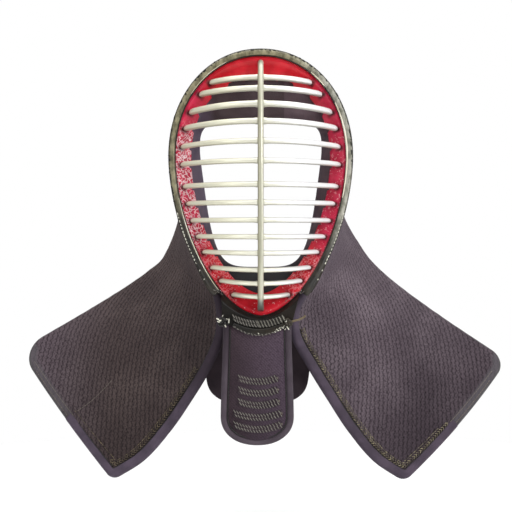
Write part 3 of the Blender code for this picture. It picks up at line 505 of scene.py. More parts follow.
def cloth_front(station):
    """The cloth's front edge, behind the rim or free along a flap."""
    if abs(station) <= RIM_END_STATION:
        return rim_seam(RIM_END * station) + BACKWARDS * seam_setback(station)
    sign = 1 if station > 0 else -1
    front = smooth_curve(FRONT_EDGE[sign], abs(station))
    fade = max(0.0, 1 - (abs(station) - RIM_END_STATION) / SETBACK_FADE)
    return front + BACKWARDS * seam_setback(sign * RIM_END_STATION) * fade


def unit(vectors):
    """Each row of an array of vectors at length one."""
    return vectors / np.maximum(np.linalg.norm(vectors, axis=-1, keepdims=True), 1e-12)


def end_bulge(station):
    """How far the cloth bulges towards a flap's end in the middle of its width, signed with the station."""
    side = RIGHT if station > 0 else LEFT
    grown = smooth_step((abs(station) - FLAP_END + END_BULGE_SPAN) / END_BULGE_SPAN)
    return math.copysign(side.end_bulge * grown, station)


class Cloth:
    """Middle surface of the quilted cloth. A place on it is a station, from tip to tip over the crown, and
    a share, from the front edge to the back."""

    SLOPE_STEP = 0.01

    def __init__(self):
        self.stations = np.linspace(-FLAP_END, FLAP_END, CLOTH_TABLE_ROWS)
        rows = []
        for station in self.stations:
            front = cloth_front(station)
            back = cloth_back(station)
            low = max(station - CURVE_STEP * 2, -FLAP_END)
            high = min(station + CURVE_STEP * 2, FLAP_END)
            along = mix(cloth_front(high), cloth_back(high), 0.5)
            along -= mix(cloth_front(low), cloth_back(low), 0.5)
            out = along.cross(back - front).normalized()
            bow = out * smooth_curve(BOWS, abs(station)) + along.normalized() * end_bulge(station)
            rows.append((*front, *back, *(bow * FULL_BOW)))
        self.table = np.array(rows)

    def at(self, station, share):
        columns = [np.interp(station, self.stations, self.table[:, k]) for k in range(9)]
        front, back, bow = (np.stack(columns[k : k + 3], -1) for k in (0, 3, 6))
        share = np.asarray(share)[..., None]
        return front + (back - front) * share + bow * share * (1 - share)

    def slopes(self, station, share):
        """How the surface moves along the stations and along the shares."""
        low = np.maximum(station - self.SLOPE_STEP, -FLAP_END)
        high = np.minimum(station + self.SLOPE_STEP, FLAP_END)
        near = np.maximum(share - self.SLOPE_STEP, 0.0)
        far = np.minimum(share + self.SLOPE_STEP, 1.0)
        along = (self.at(high, share) - self.at(low, share)) / (high - low)[..., None]
        across = (self.at(station, far) - self.at(station, near)) / (far - near)[..., None]
        return along, across

    def normal(self, station, share):
        """Direction out of the cloth, away from the head."""
        along, across = self.slopes(station, share)
        return unit(np.cross(along, across))

    def width(self, station):
        """How far it is from the front edge to the back at each of these stations."""
        across = self.at(station, np.ones_like(station)) - self.at(station, 0 * station)
        return np.linalg.norm(across, axis=-1)

    def pace(self, station, share):
        """How far the surface goes for each unit of station at one place."""
        return np.linalg.norm(self.slopes(np.array([station]), np.array([share]))[0])


CLOTH = Cloth()
TIP_SQUARENESS = 2.0


def round_tips(station, share):
    """Places moved in so that the flaps' tips are round."""
    station = np.array(station, float)
    share = np.array(share, float)
    for side in (LEFT, RIGHT):
        sign = side.sign
        end = np.array([FLAP_END * sign])
        width = CLOTH.width(end)[0]
        for edge, radius in ((0.0, FRONT_TIP_RADIUS), (1.0, side.tip_radius)):
            along, across = CLOTH.slopes(end, np.array([edge]))
            along = along[0]
            across = unit(across[0])
            speed = np.linalg.norm(along - across * (along @ across))
            from_edge = np.abs(share - edge) * width
            from_end = (FLAP_END - np.abs(station)) * speed
            near = (from_edge < radius) & (from_end < radius) & (np.sign(station) == sign)
            u = (radius - from_edge[near]) / radius
            v = (radius - from_end[near]) / radius
            spread = (u**TIP_SQUARENESS + v**TIP_SQUARENESS) ** (1 / TIP_SQUARENESS)
            pull = np.maximum(u, v) / np.maximum(spread, 1e-9)
            share[near] = np.abs(edge - (radius - u * pull * radius) / width)
            station[near] = sign * (FLAP_END - (radius - v * pull * radius) / speed)
    return station, share


def resample(points, spacing):
    """Where even steps of about this length fall on a path of points, as places in its list."""
    lengths = np.concatenate([[0], np.cumsum(np.linalg.norm(np.diff(points, axis=0), axis=1))])
    count = max(int(round(lengths[-1] / spacing)), 2)
    return np.interp(np.linspace(0, lengths[-1], count + 1), lengths, np.arange(len(points)))


def even_places(station, share, spacing):
    """Places at even distances along a line of places on the cloth."""
    spots = resample(CLOTH.at(station, share), spacing)
    order = np.arange(len(station))
    return np.interp(spots, order, station), np.interp(spots, order, share)


def edge_path(corners, spacing):
    """Even places along the cloth's edge through these corners, rounded at the tips."""
    turns = np.linspace(0, 1, 600)
    sides = list(zip(corners, corners[1:]))
    stations = [mix(first[0], second[0], turns) for first, second in sides]
    shares = [mix(first[1], second[1], turns) for first, second in sides]
    return even_places(*round_tips(np.concatenate(stations), np.concatenate(shares)), spacing)


def edge_frame(station, share):
    """Points, inward direction and outward normal at places along an edge of the cloth."""
    points = CLOTH.at(station, share)
    normal = CLOTH.normal(station, share)
    inward = unit(np.cross(normal, unit(np.gradient(points, axis=0))))
    further_in = CLOTH.at(np.clip(station, -FLAP_END * 0.97, FLAP_END * 0.97), mix(share, 0.5, 0.15))
    if (inward * (further_in - points)).sum() < 0:
        inward = -inward
    return points, inward, normal


def even_turns(count):
    """Angles that share a full turn evenly."""
    return np.arange(count) * 2 * math.pi / count


def grid_faces(rows, columns, around=False):
    """Quads of a grid of points; around joins each row's last column to its first."""
    row = np.arange(rows - 1)[:, None]
    column = np.arange(columns if around else columns - 1)[None, :]
    after = (column + 1) % columns
    start = row * columns
    end = (row + 1) * columns
    return np.stack([start + column, start + after, end + after, end + column], axis=-1).reshape(-1, 4)


def in_scene(name, data):
    """An object of a mesh, a camera or a lamp, in the scene."""
    made = bpy.data.objects.new(name, data)
    bpy.context.scene.collection.objects.link(made)
    return made


def mark_points(mesh, label, values):
    """Gives each point of a mesh a number or a direction of its own."""
    values = np.asarray(values, np.float32)
    kind, field = ("FLOAT", "value") if values.ndim == 1 else ("FLOAT_VECTOR", "vector")
    mesh.attributes.new(label, kind, "POINT").data.foreach_set(field, values.ravel())


def make_piece(name, body, finish, places=None, marks=None):
    """A mesh object that faces outwards, with places as its cloth map and marks as point values."""
    points, faces = body
    mesh = bpy.data.meshes.new(name)
    mesh.from_pydata(np.asarray(points, float).tolist(), [], [list(map(int, face)) for face in faces])
    turned = bmesh.new()
    turned.from_mesh(mesh)
    bmesh.ops.recalc_face_normals(turned, faces=turned.faces)
    turned.to_mesh(mesh)
    turned.free()
    mesh.shade_smooth()
    if places is not None:
        corners = np.zeros(len(mesh.loops), np.int32)
        mesh.loops.foreach_get("vertex_index", corners)
        layer = mesh.uv_layers.new(name="cloth")
        layer.data.foreach_set("uv", np.asarray(places, np.float32)[corners].ravel())
    for label, values in (marks or {}).items():
        mark_points(mesh, label, values)
    mesh.materials.append(finish.material)
    return in_scene(name, mesh)


def tube(rings, closed=False):
    """Points and faces of a body through rings of points, run round or capped at its ends."""
    rings = np.asarray(rings, float)
    count, sides = rings.shape[:2]
    faces = [tuple(face) for face in grid_faces(count, sides, around=True)]
    if closed:
        last = (count - 1) * sides
        faces += [(last + j, last + (j + 1) % sides, (j + 1) % sides, j) for j in range(sides)]
    else:
        faces.append(tuple(range(sides)))
        faces.append(tuple(range((count - 1) * sides, count * sides)))
    return rings.reshape(-1, 3), faces


def joined(bodies):
    """Several bodies' points and faces as one."""
    points = []
    faces = []
    start = 0
    for body_points, body_faces in bodies:
        points.append(np.asarray(body_points, float))
        faces += [tuple(int(corner) + start for corner in face) for face in body_faces]
        start += len(body_points)
    return np.concatenate(points), faces


def cord(path, radius, sides=8):
    """Points and faces of a round cord along a path, with one radius or one for each point."""
    path = np.asarray(path, float)
    radii = np.broadcast_to(radius, len(path))
    run = unit(np.gradient(path, axis=0))
    side = unit(np.cross(run[0], (0.31, 0.93, 0.2)))
    turns = even_turns(sides)
    rings = []
    for i, point in enumerate(path):
        side = unit(side - run[i] * (side @ run[i]))
        up = np.cross(run[i], side)
        rings.append(point + radii[i] * (np.cos(turns)[:, None] * side + np.sin(turns)[:, None] * up))
    return tube(rings)


def settle(piece, slot, *nodes):
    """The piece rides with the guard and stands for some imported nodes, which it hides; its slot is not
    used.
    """
    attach(piece, ROOT)
    if nodes:
        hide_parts(*nodes)
    return piece


def fit(name, body, finish, slot, *nodes, marks=None):
    """A piece made from a body's points and faces, and settled."""
    return settle(make_piece(name, body, finish, marks=marks), slot, *nodes)


def srgb(red, green, blue):
    """A colour as it is seen, from 0 to 255 each, as the amounts of light that a shader takes."""

    def light(level):
        share = level / 255
        return share / 12.92 if share <= 0.04045 else ((share + 0.055) / 1.055) ** 2.4

    return (light(red), light(green), light(blue), 1.0)


def feed(tree, socket, value):
    """Joins a socket to an amount or another node's output, or sets it to a plain number or colour."""
    if isinstance(value, Amount):
        value = value.socket
    if isinstance(value, bpy.types.NodeSocket):
        tree.links.new(value, socket)
    else:
        socket.default_value = value


def add_node(tree, kind, inputs=None, **settings):
    """A new node, set up first and then fed at its named or numbered inputs."""
    node = tree.nodes.new(kind)
    for name, value in settings.items():
        setattr(node, name, value)
    for name, value in (inputs or {}).items():
        feed(tree, node.inputs[name], value)
    return node


class Amount:
    """A number that varies over a surface: a node's output that can be added, taken off and multiplied."""

    def __init__(self, finish, socket):
        self.finish = finish
        self.socket = socket

    def __add__(self, other):
        return self.finish.reckon("ADD", self, other)

    def __sub__(self, other):
        return self.finish.reckon("SUBTRACT", self, other)

    def __mul__(self, other):
        return self.finish.reckon("MULTIPLY", self, other)

    def __truediv__(self, other):
        return self.finish.reckon("DIVIDE", self, other)

    def power(self, other):
        return self.finish.reckon("POWER", self, other)

    def size(self):
        return self.finish.reckon("ABSOLUTE", self)

    def fraction(self):
        return self.finish.reckon("FRACT", self)

    def whole(self):
        return self.finish.reckon("FLOOR", self)

    def wave(self):
        """The cosine of this many full turns."""
        return self.finish.reckon("COSINE", self * (2 * math.pi))

    def above(self, start, end):
        """0 where this is below the start, 1 above the end, and a soft change between."""
        limits = {"Value": self, "From Min": start, "From Max": end}
        risen = self.finish.add("ShaderNodeMapRange", limits, interpolation_type="SMOOTHSTEP")
        return Amount(self.finish, risen["Result"])

    def below(self, start, end, full=1.0):
        """Full where this is below the start, 0 above the end, and a soft change between."""
        return self.above(start, end) * -full + full


class Finish:
    """A material of one kind of cloth, leather, lacquer or metal."""

    def __init__(self, name, roughness, metallic=0.0, specular=0.5):
        self.material = bpy.data.materials.new(name)
        self.material.use_nodes = True
        self.tree = self.material.node_tree
        self.shader = self.tree.nodes["Principled BSDF"]
        self.put({"Roughness": roughness, "Metallic": metallic, "Specular IOR Level": specular})

    def put(self, inputs):
        """Feeds the shader's own sockets."""
        for name, value in inputs.items():
            feed(self.tree, self.shader.inputs[name], value)
        return self

    def coat(self, weight, roughness):
        return self.put({"Coat Weight": weight, "Coat Roughness": roughness})

    def sheen(self, weight, roughness, tint):
        return self.put({"Sheen Weight": weight, "Sheen Roughness": roughness, "Sheen Tint": tint})

    def colour(self, value):
        return self.put({"Base Color": value})

    def gloss(self, value):
        return self.put({"Roughness": value})

    def relief(self, millimetres):
        """Raises and sinks the surface by this many millimetres."""
        bump = self.add("ShaderNodeBump", {"Distance": MM, "Height": millimetres})
        return self.put({"Normal": bump["Normal"]})

    def add(self, kind, inputs=None, **settings):
        """A new node's outputs."""
        return add_node(self.tree, kind, inputs, **settings).outputs

    def reckon(self, operation, *values):
        """Arithmetic on amounts and plain numbers."""
        return Amount(self, self.add("ShaderNodeMath", dict(enumerate(values)), operation=operation)[0])

    def object_place(self):
        return self.add("ShaderNodeTexCoord")["Object"]

    def cloth_place(self):
        """The two coordinates of the piece's own cloth map, in metres."""
        layer = self.add("ShaderNodeUVMap", uv_map="cloth")
        split = self.add("ShaderNodeSeparateXYZ", {0: layer["UV"]})
        return Amount(self, split["X"]), Amount(self, split["Y"])

    def axis(self, name):
        return Amount(self, self.add("ShaderNodeSeparateXYZ", {0: self.object_place()})[name])

    def mark(self, name):
        """A value that the piece's points carry."""
        return Amount(self, self.add("ShaderNodeAttribute", attribute_name=name)["Fac"])

    def mottle(self, scale, detail=2.0, stretch=(1, 1, 1)):
        """Soft uneven patches, about this many to the metre, as numbers round zero."""
        place = self.add("ShaderNodeMapping", {"Scale": stretch, "Vector": self.object_place()})
        noise = self.add("ShaderNodeTexNoise", {"Vector": place["Vector"], "Scale": scale, "Detail": detail})
        return Amount(self, noise["Fac"]) - 0.5

    def cells(self, scale):
        """Distance to the nearest border between small cells, about this many to the metre."""
        inputs = {"Scale": scale, "Vector": self.object_place()}
        return Amount(self, self.add("ShaderNodeTexVoronoi", inputs, feature="DISTANCE_TO_EDGE")["Distance"])

    def blend(self, share, first, second, kind="MIX"):
        """A colour between two others."""
        inputs = {0: share, 6: first, 7: second}
        return self.add("ShaderNodeMix", inputs, data_type="RGBA", blend_type=kind)[2]

    def shade(self, share, first, tint):
        """A colour that keeps this much of its red, green and blue where the share is full."""
        return self.blend(share, first, (*tint, 1.0), kind="MULTIPLY")


WEAVE_SCALE = 1400
LEATHER_GRAIN = 620
SHADED_TAPE = srgb(42, 33, 40)


def quilted_look(name, light, dark, seam, row_pitch, stitch_pitch, depth):
    """Cotton quilted in close rows, each stitch pulling a dimple beside those of the next row, painted dark
    by its depth.
    Painted shade makes it darker and browner on the left and beside the chin; it is also darker towards its
    low ends and on the outer right."""
    cotton = Finish(name, roughness=0.9, specular=0.15).sheen(0.08, 0.45, srgb(190, 180, 195))
    across, along = cotton.cloth_place()
    row = across / row_pitch + cotton.mottle(60) * 0.55 + cotton.mottle(230) * 0.5
    shift = (row.whole() * 0.5).fraction()
    beside = (row.fraction() - 0.5).size()
    furrow = beside.above(0.12, 0.50)
    pull = (along / stitch_pitch + shift + cotton.mottle(170) * 0.9).wave() * 0.5 + 0.5
    sunk = furrow * (pull.power(1.3) * 0.95 + 0.05)
    weave = cotton.mottle(WEAVE_SCALE, detail=3)
    puff = cotton.mottle(110)
    faded = cotton.mottle(14, detail=5).above(-0.16, 0.2)
    # painted shade: the dimples take the seam colour by their depth, along with the stitch lines
    worn = cotton.blend(sunk, cotton.blend(faded, dark, light), seam)
    grain = cotton.mottle(620, detail=3).above(-0.03, 0.16) * 0.46
    fibres = cotton.blend((weave + 0.5) * 0.42 + grain, worn, seam)

    x = cotton.axis("X")
    z = cotton.axis("Z")
    # painted shade: darker and browner on the left flap
    left_shade_share = x.above(-0.30, -0.16) * x.below(-0.06, 0.03)
    left_shaded = cotton.shade(left_shade_share * 0.62, fibres, (0.29, 0.237, 0.09))
    low = z.below(-0.46, -0.27, full=0.36)
    outer = x.above(0.06, 0.22) * 0.46
    # painted shade on the cloth beside the chin, added to the darkening towards the low ends and the outer
    # right
    beside_chin_shade = z.above(-0.41, -0.36) * z.below(-0.30, -0.25)
    off_middle = (x + 0.01).size()
    inner = off_middle.above(0.040, 0.046) * off_middle.below(0.06, 0.15, full=0.4) * beside_chin_shade
    toned = cotton.shade(outer + low + inner, left_shaded, (0.124, 0.103, 0.119))
    hem = cotton.mark("hem")
    cotton.colour(cotton.blend(hem * 0.6, toned, srgb(82, 79, 83)))
    smooth = hem * -0.75 + 1.0
    return cotton.relief((sunk * (-depth) + puff * (depth * 0.7)) * smooth + weave * 0.12)


def tape_look(name, light, dark):
    """Smooth woven tape with a little unevenness."""
    tape = Finish(name, roughness=0.85, specular=0.2).sheen(0.08, 0.4, srgb(200, 195, 205))
    patches = tape.mottle(45, detail=4).above(-0.2, 0.2)
    weave = tape.mottle(WEAVE_SCALE, detail=3)
    tape.colour(tape.blend((weave + 0.5) * 0.35, tape.blend(patches, dark, light), dark))
    return tape.relief(tape.mottle(130, detail=3) * 0.55 + weave * 0.1)


def darkened(tape, share):
    """The tape, dark where the share is full."""
    woven = tape.shader.inputs["Base Color"].links[0].from_socket
    return tape.colour(tape.blend(share, woven, SHADED_TAPE))


def binding_look():
    """The flaps' binding, with painted shadow where the left one runs in behind the chin, and darker on the
    right.
    """
    tape = tape_look("binding_tape_look", srgb(84, 73, 87), srgb(64, 56, 67))
    x = tape.axis("X")
    # painted shadow on the left binding beside and below the chin
    chin_shadow = tape.axis("Z").above(-0.43, -0.34) * x.below(-0.03, 0.0) * 0.75
    right = x.above(0.03, 0.06) * 0.28
    return darkened(tape, chin_shadow + right)


def piping_look():
    """The throat guard's border, darker towards the chin, most of all on the left."""
    tape = tape_look("piping_look", srgb(80, 71, 79), srgb(62, 54, 61))
    side = tape.axis("X").above(-0.03, 0.0) * -0.45 + 0.7
    return darkened(tape, tape.axis("Z").above(-0.37, -0.31) * side)


def chain_thread_look(name, light, dark):
    """The flaps' chain stitching, its thread worn pale in places and dark between them."""
    thread = Finish(name, roughness=0.7, specular=0.3)
    worn = thread.mottle(260, detail=3).above(-0.12, 0.22)
    thread.colour(thread.blend(worn, dark, light))
    return thread.relief(thread.mottle(900, detail=2) * 0.12)


def thread_look(name, light, dark, shine=0.6):
    """Stitching thread with a fine twist."""
    thread = Finish(name, roughness=shine, specular=0.4)
    twist = thread.mottle(900, detail=2)
    thread.colour(thread.blend(twist.above(-0.2, 0.2), dark, light))
    return thread.relief(twist * 0.25)


def leather_look(name, light, dark, grain, roughness=0.45, coat=0.2, specular=0.3):
    """Lacquered leather: a fine grain under a glossy coat, lighter where it is handled."""
    leather = Finish(name, roughness=roughness, specular=specular).coat(coat, 0.12)
    rubbed = leather.mottle(38, detail=5).above(-0.12, 0.25)
    leather.colour(leather.blend(rubbed, dark, light))
    creases = leather.cells(LEATHER_GRAIN).above(0.0, 0.12) * 0.09
    return leather.relief(creases * grain + leather.mottle(260, detail=3) * 0.22 * grain)


def rim_look():
    """The bead's lacquer: black low down, with a painted reflection that makes it khaki over the crown and
    lighter grey on the right, dark edges and patchy wear.
    """
    lacquer = Finish("rim_leather_look", roughness=0.42, specular=0.35).coat(0.2, 0.15)
    x = lacquer.axis("X")
    outward = lacquer.mark("outward")
    black = lacquer.blend(lacquer.mottle(90, detail=4).above(-0.15, 0.2), srgb(20, 17, 12), srgb(46, 40, 30))
    worn = lacquer.mottle(170, detail=5, stretch=(1, 1, 0.6)).above(-0.16, 0.16)
    # painted reflection on the black lacquer: patchy khaki over the crown, lighter grey on the right
    khaki = lacquer.blend(worn, srgb(88, 83, 60), srgb(150, 144, 114))
    grey = lacquer.blend(worn, srgb(104, 104, 90), srgb(162, 160, 148))
    crown = lacquer.blend(x.above(0.03, 0.08), khaki, grey)
    # the painted reflection reaches lower on the right side
    height = lacquer.axis("Z") + x.above(-0.03, 0.03) * 0.036
    tone = lacquer.blend(height.above(-0.200, -0.135), black, crown)
    outer = outward.above(0.55, 0.9) * lacquer.mottle(330, detail=2).above(-0.10, 0.05)
    inner = (outward * -1.0).above(0.80, 0.96)
    lacquer.colour(lacquer.blend(inner * 0.7 + outer * 0.75, tone, srgb(44, 38, 28)))
    creases = lacquer.cells(LEATHER_GRAIN).above(0.0, 0.12) * 0.05
    return lacquer.relief(lacquer.mottle(260, detail=3) * 0.2 + creases)


def red_lacquer_look():
    """Scarlet lacquer, crimson at the sides, crinkled on the left, with painted pale glints there and low
    down, sparse painted sparkles, and painted shadow below the bars' ends.
    """
    lacquer = Finish("red_lacquer_look", roughness=0.32, specular=0.35).coat(0.25, 0.10)
    x = lacquer.axis("X")
    z = lacquer.axis("Z")
    from_middle = x.size()
    patches = lacquer.mottle(60, detail=4).above(-0.2, 0.25)
    scarlet = lacquer.blend(patches, srgb(206, 20, 38), srgb(238, 40, 58))
    crimson = lacquer.blend(patches, srgb(196, 18, 58), srgb(232, 52, 92))
    side = from_middle.above(0.050, 0.075) * z.above(-0.27, -0.20)
    skin = lacquer.blend(side, scarlet, crimson)
    below_crown = z.below(-0.105, -0.07)
    crinkle_and_glint = x.below(-0.072, -0.050) * below_crown * z.above(-0.228, -0.206)
    low = from_middle.above(0.024, 0.034) * z.below(-0.236, -0.214) * 0.25
    # painted highlights: pale squiggles on the crinkled left wall and low down, sparse sparkles and specks
    squiggle = (lacquer.mottle(250, detail=1).size() * -1.0).above(-0.068, -0.040)
    sparkle = lacquer.mottle(420, detail=1).above(0.185, 0.225)
    speckle = lacquer.mottle(300, detail=2).above(0.10, 0.16) * x.above(0.050, 0.064) * 0.3
    glint = squiggle * (crinkle_and_glint * 0.92 + low) + sparkle * below_crown * 0.7 + speckle * below_crown
    with_painted_glints = lacquer.blend(glint, skin, srgb(255, 214, 220))
    # painted shadow: dark red just below each bar's end, from the band's seat mark
    lacquer.colour(lacquer.blend(lacquer.mark("seat"), with_painted_glints, srgb(74, 8, 20)))
    crackle = lacquer.cells(330).above(0.0, 0.3) * 0.5 + lacquer.mottle(420, detail=2) * 1.2
    return lacquer.relief(crackle * (crinkle_and_glint * 0.6 + 0.08) + lacquer.mottle(120, detail=2) * 0.3)


def ivory_metal_look():
    """Pale metal, ivory on the left, with painted light making it whiter on the right and painted shade on
    the cross bars' undersides and on the upright, most on its left half.
    """
    metal = Finish("ivory_metal_look", roughness=0.3, metallic=0.25, specular=0.5).coat(0.4, 0.15)
    x = metal.axis("X")
    patches = metal.mottle(30, detail=3).above(-0.25, 0.25)
    bright = metal.blend(patches, srgb(226, 225, 206), srgb(242, 241, 230))
    # painted light: whiter on the right
    bright = metal.blend(x.above(0.0, 0.05), bright, srgb(247, 247, 247))
    sides = metal.blend(x.above(-0.05, 0.02), srgb(240, 238, 214), bright)
    # painted shade on the upright, darker on its left half
    edge = metal.blend(x.above(-0.002, 0.002), srgb(172, 170, 146), srgb(198, 197, 178))
    shaded = metal.blend(x.size().above(0.0034, 0.0040), edge, sides)
    # painted shade along the cross bars' undersides
    shaded = metal.blend(metal.mark("underside").above(0.30, 0.95) * 0.62, shaded, srgb(138, 136, 110))
    metal.colour(metal.blend(metal.axis("Z").above(-0.280, -0.272), srgb(120, 122, 114), shaded))
    return metal.gloss(metal.mottle(140, detail=3) * 0.1 + 0.3)


def napped(cotton):
    """The cotton with a raised nap and soft uneven swells."""
    return cotton.relief(cotton.mottle(700, detail=4) * 0.3 + cotton.mottle(90, detail=3) * 0.7)


def brushed_cotton_look(name, light, dark):
    """Soft brushed cotton."""
    cotton = Finish(name, roughness=0.92, specular=0.15).sheen(0.1, 0.5, srgb(170, 165, 180))
    cotton.colour(cotton.blend(cotton.mottle(24, detail=4).above(-0.2, 0.2), dark, light))
    return napped(cotton)


def face_pad_look():
    """The face ring's navy cotton: violet and lighter on the left, where light is painted on it, and darker
    low on that side; dark brown at its middle, brown on the right, and near-black at its lowest part.
    """
    cotton = Finish("navy_cotton_look", roughness=0.92, specular=0.15).sheen(0.15, 0.5, srgb(160, 155, 190))
    x = cotton.axis("X")
    z = cotton.axis("Z")
    patches = cotton.mottle(24, detail=4).above(-0.2, 0.2)
    # painted light: the violet of the left side is lighter, as lit from the right
    violet = cotton.blend(patches, srgb(88, 79, 94), srgb(120, 108, 122))
    brown = cotton.blend(patches, srgb(80, 66, 72), srgb(104, 89, 95))
    middle = cotton.blend(patches, srgb(66, 55, 58), srgb(86, 74, 78))
    left = cotton.shade(z.below(-0.150, -0.095, full=0.3), violet, (0.25, 0.25, 0.36))
    right = cotton.blend(x.above(0.0262, 0.0268), middle, brown)
    tone = cotton.blend(x.above(-0.064, -0.050), left, right)
    cotton.colour(cotton.blend(z.above(-0.245, -0.215), srgb(54, 53, 56), tone))
    return napped(cotton)


CLOTH_COLOURS = (srgb(132, 119, 127), srgb(106, 94, 102), srgb(38, 29, 35))
PANEL_COLOURS = (srgb(92, 78, 91), srgb(75, 62, 74), srgb(52, 42, 51))
QUILTED = quilted_look(
    "quilted_cotton_look", *CLOTH_COLOURS, row_pitch=0.0057, stitch_pitch=0.0061, depth=0.85
)
FINE_QUILTED = quilted_look(
    "fine_quilted_cotton_look", *PANEL_COLOURS, row_pitch=0.0024, stitch_pitch=0.0027, depth=0.2
)
BINDING_TAPE = binding_look()
EDGE_TAPE = tape_look("edge_tape_look", srgb(88, 86, 86), srgb(64, 62, 64))
# pale tape colour for the painted highlights on the bead's inner edge
PAINTED_EDGE_HIGHLIGHT = tape_look("painted_highlight_edge_look", srgb(246, 242, 226), srgb(196, 188, 160))
PIPING = piping_look()
DARK_COTTON = brushed_cotton_look("dark_cotton_look", srgb(62, 52, 57), srgb(46, 38, 43))
# dark cotton for the painted shade under the chain stitches
CHAIN_GROOVE_SHADE = brushed_cotton_look("chain_groove_shade_look", srgb(46, 39, 40), srgb(32, 27, 28))
NAVY_COTTON = face_pad_look()
RIM_LEATHER = rim_look()
CHIN_LEATHER = leather_look(
    "chin_leather_look", srgb(30, 23, 17), srgb(12, 9, 6), grain=1.2, roughness=0.5, coat=0.12, specular=0.2
)
LACE_LEATHER = leather_look(
    "lace_leather_look", srgb(44, 37, 26), srgb(16, 13, 9), grain=0.8, roughness=0.35, coat=0.25
)
WORN_LACE = leather_look(
    "worn_lace_look", srgb(104, 90, 66), srgb(60, 50, 36), grain=0.6, roughness=0.45, coat=0.15
)
BRAID_LEATHER = leather_look(
    "braid_leather_look", srgb(158, 155, 143), srgb(88, 85, 76), grain=0.4, roughness=0.4, coat=0.3
)
RED_LACQUER = red_lacquer_look()
IVORY_METAL = ivory_metal_look()
OLIVE_THREAD = chain_thread_look("olive_thread_look", srgb(142, 133, 106), srgb(64, 56, 50))
# the left chain's thread: a darker, browner copy of the olive thread, as painted shade on the left flap
LEFT_SHADED_THREAD = chain_thread_look("left_shaded_thread_look", srgb(112, 100, 78), srgb(54, 46, 40))
GREY_THREAD = thread_look("grey_thread_look", srgb(124, 120, 112), srgb(84, 80, 76))
SEAM_THREAD = thread_look("seam_thread_look", srgb(112, 104, 94), srgb(78, 70, 66))
DARK_THREAD = thread_look("dark_thread_look", srgb(30, 30, 27), srgb(12, 12, 10), shine=0.4)
# pale thread for painted highlights on the laces and on the bead's lower stitches
PALE_THREAD = thread_look("pale_thread_look", srgb(236, 234, 220), srgb(170, 168, 152))

THREAD_STEPS = 6
THREAD_SIDES = 6
THREAD_END_SHARE = 0.45
THREAD_ARCH = 0.35
THREAD_SWAY = 0.08
THREAD_SEED = 7


class Places:
    """Where threads are laid: each one's middle, its run from end to end, the way up from the cloth,
    and how thick it is."""

    def __init__(self):
        self.rows = []

    def lay(self, start, end, up, girth):
        start = np.asarray(start, float)
        end = np.asarray(end, float)
        self.rows.append(((start + end) / 2, end - start, up, girth))

    def lay_round(self, middle, half, up, girth):
        """A thread from half its run before a middle to half its run after."""
        self.lay(middle - half, middle + half, up, girth)


